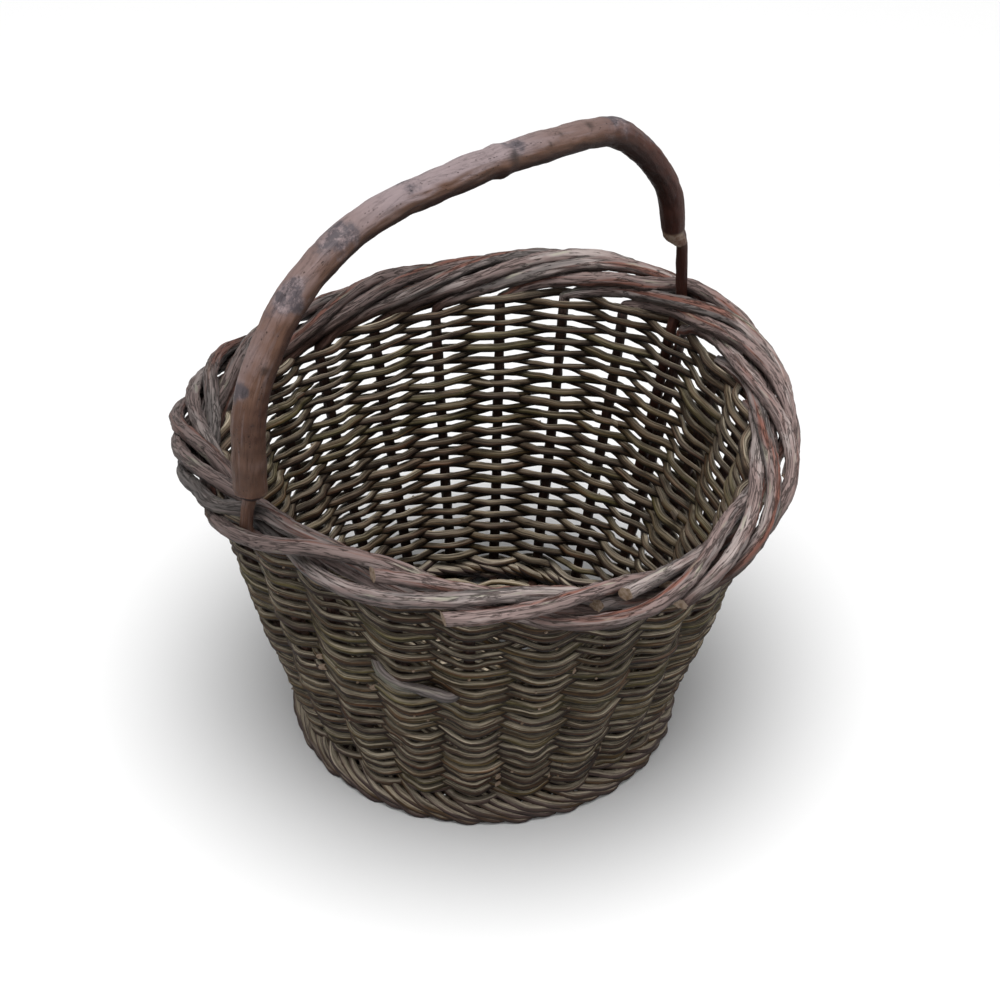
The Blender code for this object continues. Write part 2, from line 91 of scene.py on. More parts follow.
class BasketSizes(bpy.types.PropertyGroup):
    """The sizes that the rods' paths follow."""

    rim_radius: length("Rim radius", 0.2, "Outside of the border")
    rim_height: length("Rim height", 0.242, "Top of the border, on average")
    rim_rise: length("Rim rise", 0.014, "How much higher the border stands at the handle")
    foot_radius: length("Foot radius", 0.133, "Outside of the twined rods at the foot")
    wall_belly: length("Wall belly", 0.004, "How far the wall swells between foot and rim")
    handle_top: length("Handle top", CAD_BOX[1].z, "Highest point of the handle")
    stake_radius: length("Stake radius", 0.004, "Half a stake's thickness")
    wale_radius: length("Foot rod radius", 0.0033, "Half a foot rod's thickness")
    stick_radius: length("Base stick radius", 0.0045, "Half a base stick's thickness")
    tie_radius: length("Tie radius", 0.0022, "Half the thickness of the rod that ties the sticks")
    weaver_radius: length("Weaver radius", 0.0029, "Half a wall weaver's thickness at its thick end")
    base_weaver_radius: length("Base weaver radius", 0.0021, "Half a base weaver's thickness")
    border_radius: length("Border rod radius", 0.0056, "Half a stake's thickness where it lies in the border")
    tail_radius: length("Tail radius", 0.004, "Half the thickness of the handle's slim ends")
    butt_radius: length("Handle butt radius", 0.0103, "Half the handle's thickness at its thick end")
    tip_radius: length("Handle tip radius", 0.0078, "Half the handle's thickness at its thin end")
    wall_rounds: count("Wall rounds", 44, WALL_COURSES, "How many rods high the wall is")
    base_rounds: count("Base rounds", 15, BASE_COURSES, "How many rods of weaving the base has")


class BasketColours(bpy.types.PropertyGroup):
    """The colours of bark and wood."""

    weaver_brown: colour("Weaver brown", (0.092, 0.05, 0.02), "Main colour of the wall's rods")
    weaver_tan: colour("Weaver tan", (0.17, 0.118, 0.06), "Lighter rods")
    weaver_olive: colour("Weaver olive", (0.12, 0.098, 0.034), "Greenish rods")
    weaver_plum: colour("Weaver plum", (0.055, 0.029, 0.02), "Purplish rods")
    weaver_rust: colour("Weaver rust", (0.13, 0.048, 0.02), "Reddish patches of the wall's rods")
    # Laid on upper sides: real weathering, and a painted highlight too
    weathered_highlight: colour("Weathered grey", (0.58, 0.5, 0.375), "Pale grey bloom on upper sides")
    border_mauve: colour("Border mauve", (0.245, 0.18, 0.167), "Main colour of the border's bark")
    border_pink: colour("Border pink", (0.37, 0.31, 0.292), "Pale patches of the border")
    border_grey: colour("Border grey", (0.165, 0.143, 0.136), "Grey patches of the border")
    border_lichen: colour("Border lichen", (0.36, 0.35, 0.27), "Greenish pale patches of the border")
    border_red: colour("Border red", (0.19, 0.068, 0.045), "Red patches of the border")
    seam_brown: colour("Seam brown", (0.022, 0.014, 0.011), "Bottoms of cracks and wrinkles")
    # The stakes' red bark, darkened as painted shade where the weaving covers them
    shaded_stake_red: colour("Stake red", (0.05, 0.023, 0.016), "Stakes where the weaving covers them")
    wale_purple: colour("Foot purple", (0.085, 0.055, 0.05), "Rods twined at the foot")
    branch_brown: colour("Branch brown", (0.125, 0.064, 0.042), "Main colour of the handle's bark")
    # Laid on top of the handle as a painted highlight as well as its own mauve
    branch_mauve_and_highlight: colour("Branch mauve", (0.265, 0.208, 0.212), "Smooth mauve bark on top of the handle")
    branch_slate: colour("Branch slate", (0.06, 0.054, 0.064), "Slate patches of the handle")
    # Laid on the handle's underside as painted shade as well as its own red
    branch_red_and_shade: colour("Branch red", (0.052, 0.0115, 0.006), "Dark red bark of the handle")
    cut_wood: colour("Cut wood", (0.24, 0.18, 0.135), "Cut ends of the rods, and buds")
    base_tan: colour("Base tan", (0.16, 0.112, 0.068), "Sticks and weaving of the base")


class BasketStage(bpy.types.PropertyGroup):
    """The floor, lamps and camera."""

    camera_place: bpy.props.FloatVectorProperty(
        name="Camera place", default=(-0.80936, -0.85194, 1.05055), subtype="TRANSLATION"
    )
    camera_aim: bpy.props.FloatVectorProperty(
        name="Line of sight", default=(0.55521, 0.57494, -0.60099), subtype="DIRECTION"
    )
    camera_roll: bpy.props.FloatProperty(name="Camera roll", default=math.radians(0.72), subtype="ANGLE")
    camera_lens: bpy.props.FloatProperty(name="Lens", default=80.88, subtype="DISTANCE_CAMERA")
    lamp_power: bpy.props.FloatProperty(name="Overhead lamp", default=420, subtype="POWER")
    fill_power: bpy.props.FloatProperty(name="Side lamps", default=3, subtype="POWER")
    sky_strength: bpy.props.FloatProperty(name="Light from all round", default=0.22)
    floor_colour: colour("Floor colour", (0.88, 0.88, 0.88), "Pale floor")


class Field:
    """A socket that can be written into sums; each operation adds its Math node."""

    def __init__(self, tree, socket):
        self.tree = tree
        self.socket = socket

    def __add__(self, other):
        return self.tree.math("ADD", self, other)

    def __sub__(self, other):
        return self.tree.math("SUBTRACT", self, other)

    def __mul__(self, other):
        return self.tree.math("MULTIPLY", self, other)

    def __truediv__(self, other):
        return self.tree.math("DIVIDE", self, other)

    def __pow__(self, other):
        return self.tree.math("POWER", self, other)

    def __rsub__(self, other):
        return self.tree.math("SUBTRACT", other, self)

    def __rtruediv__(self, other):
        return self.tree.math("DIVIDE", other, self)

    def __neg__(self):
        return self * -1

    __radd__ = __add__
    __rmul__ = __mul__


class Made:
    """A node that has been added, whose outputs are read by name or number."""

    def __init__(self, tree, node):
        self.tree = tree
        self.node = node

    def __getitem__(self, output):
        return Field(self.tree, self.node.outputs[output])


class Tree:
    """Adds nodes to a shader or geometry tree."""

    def __init__(self, nodes, links):
        self.nodes = nodes
        self.links = links

    def put(self, socket, value):
        if isinstance(value, Field):
            self.links.new(value.socket, socket)
        else:
            socket.default_value = value

    def add(self, kind, settings=None, values=None):
        """Adds a node of this type, with its settings first and then the values or links of its sockets."""
        node = self.nodes.new(kind)
        for name, value in (settings or {}).items():
            if name == "stops":
                self.set_stops(node.color_ramp.elements, value)
            else:
                setattr(node, name, value)
        for key, value in (values or {}).items():
            self.put(node.inputs[key], value)
        return Made(self, node)

    @staticmethod
    def set_stops(elements, stops):
        while len(elements) < len(stops):
            elements.new(1)
        for element, (place, shade) in zip(elements, stops):
            element.position = place
            element.color = shade

    def math(self, operation, *values):
        return self.add("ShaderNodeMath", {"operation": operation}, dict(enumerate(values)))["Value"]

    def sin(self, angle):
        return self.math("SINE", angle)

    def cos(self, angle):
        return self.math("COSINE", angle)

    def least(self, a, b):
        return self.math("MINIMUM", a, b)

    def most(self, a, b):
        return self.math("MAXIMUM", a, b)

    def size(self, value):
        return self.math("ABSOLUTE", value)

    def ease(self, value, low, high):
        """0 below low, 1 above high and smooth between."""
        sockets = {"Value": value, "From Min": low, "From Max": high}
        return self.add("ShaderNodeMapRange", {"interpolation_type": "SMOOTHSTEP"}, sockets)["Result"]

    def vector(self, x, y, z):
        return self.add("ShaderNodeCombineXYZ", values={"X": x, "Y": y, "Z": z})["Vector"]

    def parts(self, vector):
        split = self.add("ShaderNodeSeparateXYZ", values={"Vector": vector})
        return split["X"], split["Y"], split["Z"]

    def vector_math(self, operation, a, b):
        node = self.add("ShaderNodeVectorMath", {"operation": operation}, {0: a, 1: b})
        return node["Value" if operation in ("DOT_PRODUCT", "DISTANCE") else "Vector"]

    def stretch(self, vector, factor):
        sockets = {"Vector": vector, "Scale": factor}
        return self.add("ShaderNodeVectorMath", {"operation": "SCALE"}, sockets)["Vector"]

    def unit(self, vector):
        return self.add("ShaderNodeVectorMath", {"operation": "NORMALIZE"}, {0: vector})["Vector"]

    def noise(self, vector, scale=1.0, detail=3.0, roughness=0.55, waver=0.0):
        sockets = {"Vector": vector, "Scale": scale, "Detail": detail, "Roughness": roughness}
        return self.add("ShaderNodeTexNoise", values={**sockets, "Distortion": waver})["Fac"]


class GeometryTree(Tree):
    """A geometry tree with named inputs, which takes a geometry and gives one."""

    SOCKETS = {
        "float": "NodeSocketFloat",
        "int": "NodeSocketInt",
        "vector": "NodeSocketVector",
        "material": "NodeSocketMaterial",
    }

    def __init__(self, name, **inputs):
        self.group = bpy.data.node_groups.new(name, "GeometryNodeTree")
        super().__init__(self.group.nodes, self.group.links)
        face = self.group.interface
        face.new_socket("Geometry", in_out="INPUT", socket_type="NodeSocketGeometry")
        for label, kind in inputs.items():
            face.new_socket(label, in_out="INPUT", socket_type=self.SOCKETS[kind])
        face.new_socket("Geometry", in_out="OUTPUT", socket_type="NodeSocketGeometry")
        self.inputs = self.add("NodeGroupInput")

    def change(self, kind, geometry, settings=None, **sockets):
        """The geometry after a node of this type, whose sockets are named with _ for a space."""
        sockets = {name.replace("_", " "): value for name, value in sockets.items()}
        return self.add(kind, settings, {"Geometry": geometry, **sockets})["Geometry"]

    def named(self, name, kind="FLOAT"):
        return self.add("GeometryNodeInputNamedAttribute", {"data_type": kind}, {"Name": name})["Attribute"]

    def named_vector(self, name):
        return self.named(name, "FLOAT_VECTOR")

    def keep(self, geometry, name, value, kind="FLOAT", domain="POINT"):
        settings = {"data_type": kind, "domain": domain}
        return self.change("GeometryNodeStoreNamedAttribute", geometry, settings, Name=name, Value=value)

    def keep_vector(self, geometry, name, value):
        return self.keep(geometry, name, value, "FLOAT_VECTOR")

    def drop(self, geometry, *names):
        for name in names:
            geometry = self.change("GeometryNodeRemoveAttribute", geometry, Name=name)
        return geometry

    def chance(self, seed, **identity):
        """A random number from 0 to 1 for each ID, or for each element."""
        return self.add("FunctionNodeRandomValue", {"data_type": "FLOAT"}, {"Seed": seed, **identity})[1]

    def position(self):
        return self.add("GeometryNodeInputPosition")["Position"]

    def move(self, geometry, **sockets):
        return self.change("GeometryNodeSetPosition", geometry, **sockets)

    def realize(self, geometry):
        return self.change("GeometryNodeRealizeInstances", geometry)

    def paint(self, geometry, **sockets):
        return self.change("GeometryNodeSetMaterial", geometry, **sockets)

    def join(self, *geometries):
        node = self.add("GeometryNodeJoinGeometry")
        for geometry in geometries:
            self.put(node.node.inputs["Geometry"], geometry)
        return node["Geometry"]

    def finish(self, geometry):
        self.add("NodeGroupOutput", values={"Geometry": self.realize(geometry)})
        return self.group


class Plan:
    """Where the rods run, worked out from the basket's sizes as its solids were."""

    CLEARANCE = 0.0004
    WALE_ROD_GAP = 0.0037
    BORDER_ROD_GAP = 0.0013
    KINK_GAP = 0.0014
    WALE_STAND = 0.0012
    COURSE_GAP = 0.0006
    BASE_LIFT = 0.005
    BASE_DOME = 0.012
    TIE_RING_RADIUS = 0.033
    BASE_WEAVE_INNER_RADIUS = 0.0425
    BASE_WEAVE_EDGE_GAP = 0.002
    STAKE_TIP_RADIUS = 0.07
    FLAT_DEPTH = 0.0008
    STAKE_BEND_RADIUS = 0.006
    BORDER_FLATTEN = 0.003
    BORDER_OVERHANG = 0.0115
    BORDER_TURN = math.radians(71)
    BORDER_FIRST_ANGLE = math.radians(215)
    TAIL_SHARES = (0.42, 0.6, 0.8, 1.0)
    RODS_INSIDE_TIP = 1
    RODS_INSIDE_BUTT = 2

    def __init__(self, sizes):
        self.sizes = s = sizes
        self.pitch = math.tau / STAKES
        self.stick_ends = 2 * STICKS
        self.stick_pitch = math.tau / self.stick_ends
        self.third = math.tau / WALE_RODS
        apart = 2 * s.stake_radius + self.BORDER_ROD_GAP
        self.border_high = apart / (2 * math.sin(self.BORDER_TURN / 2))
        self.border_wide = self.border_high + self.BORDER_FLATTEN
        self.border_radius = s.rim_radius - self.border_wide - s.stake_radius
        self.border_height = s.rim_height - self.border_high - s.stake_radius
        self.border_drop = apart - self.border_high * math.sin(self.BORDER_FIRST_ANGLE)
        self.wall_top = self.border_radius - self.BORDER_OVERHANG
        run = (s.foot_radius - 4 * s.wale_radius) * self.pitch * (1 - 1 / self.stick_ends)
        self.wale_crest = self.crest(s.stake_radius + s.wale_radius + self.CLEARANCE, run)
        self.wall_foot = s.foot_radius - self.wale_crest - s.wale_radius
        self.kink = (s.stake_radius + s.wale_radius + self.KINK_GAP) / math.cos(math.pi / 8)
        self.base_edge_height = self.BASE_LIFT + s.stake_radius
        self.base_edge = self.wall_foot - self.kink
        self.wale_high = (2 * s.wale_radius + self.WALE_ROD_GAP) / (2 * math.sin(self.third))
        behind = self.base_edge_height + self.kink + self.WALE_STAND
        wale_up = self.wale_high * math.sin(self.third)
        front = s.wale_radius * math.cos(math.pi / 6) - self.FLAT_DEPTH + wale_up
        self.wale_height = (behind + front) / 2
        self.wale_lean = (behind - front) / 2
        self.stick_end = self.wall_foot - self.wale_crest - s.wale_radius - self.CLEARANCE
        self.weave_bottom = max(self.wale_height + wale_up, behind)
        self.weave_bottom += s.wale_radius + self.COURSE_GAP
        self.weave_top = self.border_height - self.border_drop - self.STAKE_BEND_RADIUS
        beside = s.stake_radius + s.tail_radius + self.CLEARANCE
        self.tail_angle = beside / self.wall_radius(self.TAIL_SHARES[0])
        self.first_stage = 1 - self.tail_angle / 2 / self.pitch

    @staticmethod
    def crest(gap, run):
        """Height of a wave whose rod keeps this gap from what it crosses, once in each run."""
        height = gap
        for _ in range(12):
            height = gap * math.hypot(1, 2 * height / run)
        return height

    def wall_radius(self, share):
        straight = self.wall_foot + (self.wall_top - self.wall_foot) * share
        return straight + self.sizes.wall_belly * 4 * share * (1 - share)

    def rim_lift(self, angle):
        return self.sizes.rim_rise * math.cos(2 * angle)

    def wall_point(self, share, angle):
        height = self.weave_bottom + (self.weave_top + self.rim_lift(angle) - self.weave_bottom) * share
        return at(self.wall_radius(share), angle, height)

    def channel_angle(self, index):
        return self.pitch * index - self.tail_angle / 2

    def stake_angle(self, index):
        beside_tail = index % (STAKES // 2) == 0
        return self.channel_angle(index) - (self.tail_angle / 2 if beside_tail else 0)

    def stick_angle(self, end):
        return self.channel_angle(2 * end + 0.5)

    def border_offset(self, stage):
        """(out, up) from the border's middle, at a stage counted in stakes passed."""
        turned = self.BORDER_FIRST_ANGLE - max(stage - 1, 0) * self.BORDER_TURN
        out, up = self.border_wide * math.cos(turned), self.border_high * math.sin(turned)
        left = max(1 - stage, 0)
        return out + (-self.BORDER_OVERHANG - out) * left, up + (-self.border_drop - up) * left

    def tail_seat(self, rods_inside):
        """How far out from the border's middle an end of the handle passes through it."""
        inner, outer = (self.border_offset(self.first_stage + rods_inside + step)[0] for step in (0, 1))
        return (inner + outer) / 2

    def strand_start(self, strand):
        """Angle at which a strand of the wall sets out from the foot."""
        return self.stake_angle(STAKES // STRANDS * strand)

    def strand_joints(self, strand):
        """Angles, counted on from turn to turn, at which one rod of the frame ends and the next begins."""
        first = STAKES // STRANDS * strand
        rods = WALL_COURSES // STRANDS
        hidden = [
            index for index in range(first, first + STAKES * self.sizes.wall_rounds // STRANDS + 1)
            if (index + strand) % STRANDS == 0 and index % (STAKES // 2)
        ]
        last = len(hidden) - 1
        return [self.channel_angle(hidden[round(last * number / rods)]) for number in range(rods + 1)]

    def base_height(self, radius):
        return self.base_edge_height + self.BASE_DOME * (1 - (radius / self.base_edge) ** 2)

    def base_angle(self, index, radius):
        """Angle of a stake's foot at a radius in the base, beside its stick and then towards its place."""
        apart = self.sizes.stick_radius + self.sizes.stake_radius + self.CLEARANCE
        beside = apart / self.STAKE_TIP_RADIUS * (1 if index % 2 else -1)
        tip = at(self.STAKE_TIP_RADIUS, self.stick_angle(index // 2) + beside, 0)
        edge = at(self.base_edge, self.stake_angle(index), 0)
        spot = tip.lerp(edge, (radius - self.STAKE_TIP_RADIUS) / (self.base_edge - self.STAKE_TIP_RADIUS))
        return math.atan2(spot.y, spot.x)


def at(radius, angle, height):
    return Vector((radius * math.cos(angle), radius * math.sin(angle), height))


def smooth(points, steps, closed=False):
    """Points of a smooth curve through the given ones."""
    count = len(points)
    made = []
    for index in range(count if closed else count - 1):
        if closed:
            before, start, end, after = (points[(index + step) % count] for step in (-1, 0, 1, 2))
        else:
            before, start = points[max(index - 1, 0)], points[index]
            end, after = points[index + 1], points[min(index + 2, count - 1)]
        for step in range(steps):
            share = step / steps
            pull = (end - before) * share + (2 * before - 5 * start + 4 * end - after) * share**2
            pull += (3 * start - before - 3 * end + after) * share**3
            made.append(start + pull / 2)
    return made if closed else made + [points[-1]]


def run_length(points):
    return sum((after - before).length for before, after in zip(points, points[1:]))


def even_rod(path, half, closed=False):
    """A rod of the same thickness throughout, as rod_paths takes it."""
    return path, [half] * len(path), closed


def rod_paths(name, *rods):
    """A curve of rods, each given as its points, its half thickness at each and whether it is closed."""
    curve = bpy.data.curves.new(name, "CURVE")
    curve.dimensions = "3D"
    for points, thickness, closed in rods:
        spline = curve.splines.new("POLY")
        spline.points.add(len(points) - 1)
        for place, point, half in zip(spline.points, points, thickness):
            place.co = (*point, 1)
            place.radius = half
        spline.use_cyclic_u = closed
    return curve


def grow(name, group, values, base=None):
    """Runs a geometry tree on a base, or on nothing, and gives the result as a plain mesh object."""
    carrier = bpy.data.objects.new(name + "_path", base or bpy.data.meshes.new(name))
    bpy.context.scene.collection.objects.link(carrier)
    modifier = carrier.modifiers.new("rods", "NODES")
    modifier.node_group = group
    for item in group.interface.items_tree:
        if item.in_out == "INPUT" and item.name in values:
            modifier[item.identifier] = values[item.name]
    bpy.context.view_layer.update()
    graph = bpy.context.evaluated_depsgraph_get()
    mesh = bpy.data.meshes.new_from_object(carrier.evaluated_get(graph), depsgraph=graph)
    bpy.data.objects.remove(carrier, do_unlink=True)
    mesh.name = name
    made = bpy.data.objects.new(name, mesh)
    bpy.context.scene.collection.objects.link(made)
    return made


def settle(piece, slot, *nodes):
    """The piece stands for these nodes and moves with the basket. The slot is not used."""
    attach(piece, BODY)
    if nodes:
        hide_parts(*nodes)


SKIN_INPUTS = {
    "Sides": "int",
    "Lump": "float",
    "Lump Length": "float",
    "Furrow": "float",
    "Furrow Width": "float",
    "Furrow Length": "float",
    "Slant": "float",
    "Ground": "float",
    "Seed": "int",
    "Bark": "material",
    "Cut Wood": "material",
}
NO_GROUND = -1.0
# How far apart the noise of two rods lies, for tones 1 apart
TONE_SHIFT = 57
# How near its middle value the noise makes a furrow
FURROW_EDGE = 0.3
# Over how many times its own length a slanted cut fades into the rod
CUT_REACH = 2.2
# Lengths that count as none
TINY = 1e-6
END_LENGTH = 1e-5


def skin(tree, curves):
    """Turns curves into furrowed tubes whose ends are cut on a slant, using the tree's skin inputs."""
    asked = tree.inputs
    curves = tree.keep(curves, "tone", tree.chance(asked["Seed"]), domain="CURVE")
    along = tree.add("GeometryNodeSplineParameter")["Length"]
    whole = tree.add("GeometryNodeSplineLength")["Length"]
    curves = tree.keep(curves, "along", along)
    curves = tree.keep(curves, "to_end", whole - along)
    curves = tree.keep_vector(curves, "centre", tree.position())
    curves = tree.keep_vector(curves, "heading", tree.add("GeometryNodeInputTangent")["Tangent"])
    shift = tree.named("tone") * TONE_SHIFT
    lumps = tree.noise(tree.vector(along / asked["Lump Length"] + shift, shift, 0))
    thickness = tree.add("GeometryNodeInputRadius")["Radius"] * (1 + (lumps - 0.5) * 2 * asked["Lump"])
    circle = tree.add("GeometryNodeCurvePrimitiveCircle", values={"Resolution": asked["Sides"], "Radius": 1})
    profile = tree.keep_vector(circle["Curve"], "ring", tree.position())
    sockets = {"Curve": curves, "Profile Curve": profile, "Scale": thickness, "Fill Caps": True}
    tube = tree.add("GeometryNodeCurveToMesh", values=sockets)["Mesh"]

    centre = tree.named_vector("centre")
    outward = tree.vector_math("SUBTRACT", tree.position(), centre)
    half = tree.vector_math("DISTANCE", tree.position(), centre)
    ring_x, ring_y, _ = tree.parts(tree.named_vector("ring"))
    around = half / asked["Furrow Width"]
    onward = tree.named("along") / asked["Furrow Length"] + shift
    dip = tree.size(tree.noise(tree.vector(ring_x * around, ring_y * around, onward), detail=2) - 0.5) * 2
    depth = asked["Furrow"] * (1 - tree.ease(dip, 0, FURROW_EDGE))
    tube = tree.move(tube, Offset=tree.stretch(outward, -1 * depth / half))

    outward = tree.vector_math("SUBTRACT", tree.position(), centre)
    x, y, _ = tree.parts(centre)
    side = tree.vector_math("DOT_PRODUCT", outward, tree.unit(tree.vector(x, y, 0)))
    reach = asked["Slant"] * half * CUT_REACH + TINY
    near_start = 1 - tree.least(tree.named("along") / reach, 1)
    near_end = 1 - tree.least(tree.named("to_end") / reach, 1)
    slide = side * asked["Slant"] * (near_start - near_end)
    tube = tree.move(tube, Offset=tree.stretch(tree.named_vector("heading"), slide))

    x, y, z = tree.parts(tree.position())
    tube = tree.move(tube, Position=tree.vector(x, y, tree.most(z, asked["Ground"])))
    to_nearest_end = tree.least(tree.named("along"), tree.named("to_end"))
    is_side = tree.math("GREATER_THAN", to_nearest_end, END_LENGTH)
    tube = tree.change("GeometryNodeSetShadeSmooth", tube, {"domain": "FACE"}, Shade_Smooth=is_side)
    return tube, is_side


def finish_skin(tree, tube, is_side, *others):
    """Paints the tubes and ends the tree with them and any other geometry."""
    tube = tree.paint(tube, Material=tree.inputs["Cut Wood"])
    tube = tree.paint(tube, Selection=is_side, Material=tree.inputs["Bark"])
    tube = tree.drop(tube, "centre", "heading", "to_end")
    return tree.finish(tree.join(tube, *others) if others else tube)


def rod_tree():
    """Skins the rods that it is given. It is made once."""
    made = bpy.data.node_groups.get("bark_rods")
    if made:
        return made
    tree = GeometryTree("bark_rods", **SKIN_INPUTS)
    return finish_skin(tree, *skin(tree, tree.inputs["Geometry"]))


# Knots on the handle: how far along it, how far round from its upper side to the front, spread and height
KNOTS = (
    (0.53, math.radians(60), 0.007, 0.0012),
    (0.62, math.radians(25), 0.0055, -0.0006),
    (0.585, math.radians(30), 0.003, 0.0006),
    (0.57, math.radians(55), 0.003, 0.0006),
    (0.25, math.radians(60), 0.0045, 0.001),
)
# Slate patches of the handle: how far along it, how far round from its upper side to the front, and spread
SLATES = (
    (0.225, math.radians(-5), 0.013),
    (0.3, math.radians(15), 0.02),
    (0.36, math.radians(10), 0.024),
    (0.535, math.radians(15), 0.014),
    (0.66, math.radians(-10), 0.02),
    (0.71, math.radians(-15), 0.014),
)
# The pale cut of each notch: how far its middle lies before the notch, how far from there it fades along the
# handle, and between which turns from its side
TIP_CUT_AHEAD = 0.006
TIP_CUT_FADE = (0.007, 0.01)
TIP_CUT_SIDE = (0.3, 0.9)
BUTT_CUT_FADE = (0.004, 0.008)
BUTT_CUT_SIDE = (-0.2, 0.5)
BUTT_CUT_SHARE = 0.5


def branch_tree():
    """Skins the handle's branch, raises its knots and marks its slate patches and pared ends."""
    marks = {}
    for label, places in (("Knot", KNOTS), ("Slate", SLATES)):
        for number in range(1, len(places) + 1):
            marks.update({f"{label} {number}": "vector", f"{label} {number} Spread": "float"})
            if label == "Knot":
                marks[f"{label} {number} Height"] = "float"
    notches = {"Butt Notch": "float", "Tip Notch": "float"}
    tree = GeometryTree("bark_branch", **marks, **notches, **SKIN_INPUTS)
    asked = tree.inputs
    tube, is_side = skin(tree, asked["Geometry"])

    def near(label):
        """1 at a mark of the handle, 0 beyond its spread and smooth between."""
        apart = tree.vector_math("DISTANCE", tree.position(), asked[label])
        return 1 - tree.ease(apart, 0, asked[label + " Spread"])

    raised, knot, slate = 0.0, 0.0, 0.0
    for number in range(1, len(KNOTS) + 1):
        raised = near(f"Knot {number}") * asked[f"Knot {number} Height"] + raised
        knot = near(f"Knot {number}") + knot
    for number in range(1, len(SLATES) + 1):
        slate = near(f"Slate {number}") + slate
    outward = tree.unit(tree.vector_math("SUBTRACT", tree.position(), tree.named_vector("centre")))
    tube = tree.keep(tree.keep(tube, "knot", tree.least(knot, 1)), "slate", tree.least(slate, 1))
    run = tree.named("along")
    across, ahead, _ = tree.parts(outward)
    tip = 1 - tree.ease(tree.size(run - asked["Tip Notch"] + TIP_CUT_AHEAD), *TIP_CUT_FADE)
    tip = tip * tree.ease(-across - ahead, *TIP_CUT_SIDE)
    butt = 1 - tree.ease(tree.size(run - asked["Butt Notch"]), *BUTT_CUT_FADE)
    butt = butt * tree.ease(across, *BUTT_CUT_SIDE)
    tube = tree.keep(tube, "pared", tree.most(tip, butt * BUTT_CUT_SHARE))
    return finish_skin(tree, tree.move(tube, Offset=tree.stretch(outward, raised)), is_side)


def bark_values(seed, bark, **changes):
    """Values for a tree's inputs: a bark by its name, and others named with _ for a space."""
    values = {
        "Sides": 10,
        "Lump": 0.05,
        "Lump Length": 0.02,
        "Furrow": 0.0001,
        "Furrow Width": 0.0012,
        "Furrow Length": 0.02,
        "Slant": 0.0,
        "Ground": NO_GROUND,
        "Seed": seed,
        "Bark": bpy.data.materials[bark],
        "Cut Wood": bpy.data.materials["cut_wood"],
    }
    values.update({name.replace("_", " "): value for name, value in changes.items()})
    return values


STEPS_PER_STAKE = 12
# In stakes: how far before its joint a rod starts, how far past the next it ends, and how long it takes to
# come out and to go in
WEAVER_START = 0.35
WEAVER_END = 0.5
EASE_OUT = 0.5
EASE_IN = 0.45
# In crests: how far out its start and end lie
START_OUT = -0.75
END_OUT = 0.5
# A weaver's wave: how much of it is of three times the pace, and how far its crests shift
THIRD_WAVE = 0.05
CREST_SHIFT = 1.6
# How fast a weaver's noise changes round the wall, and from rod to rod or from round to round
CREST_NOISE = (6, 3.1)
WANDER_NOISE = (2.4, 0.16)
SHIVER_NOISE = (9, 7.7)
ROD_IDENTITIES = 7
# Shares of the wall's height over which the rods' wander starts and dies away
WANDER_FROM = (0, 0.1)
WANDER_TO = (0.65, 0.9)
SHIVER_SHARE = 0.45
BUD_STEP = 0.034
BUD_CHANCE = 0.16
BUD_SEAT = 0.95
BUD_LENGTH = 1.4
BUD_LEAST, BUD_SPREAD = 0.6, 0.7
# How often buds point down
BUDS_BELOW = 0.35


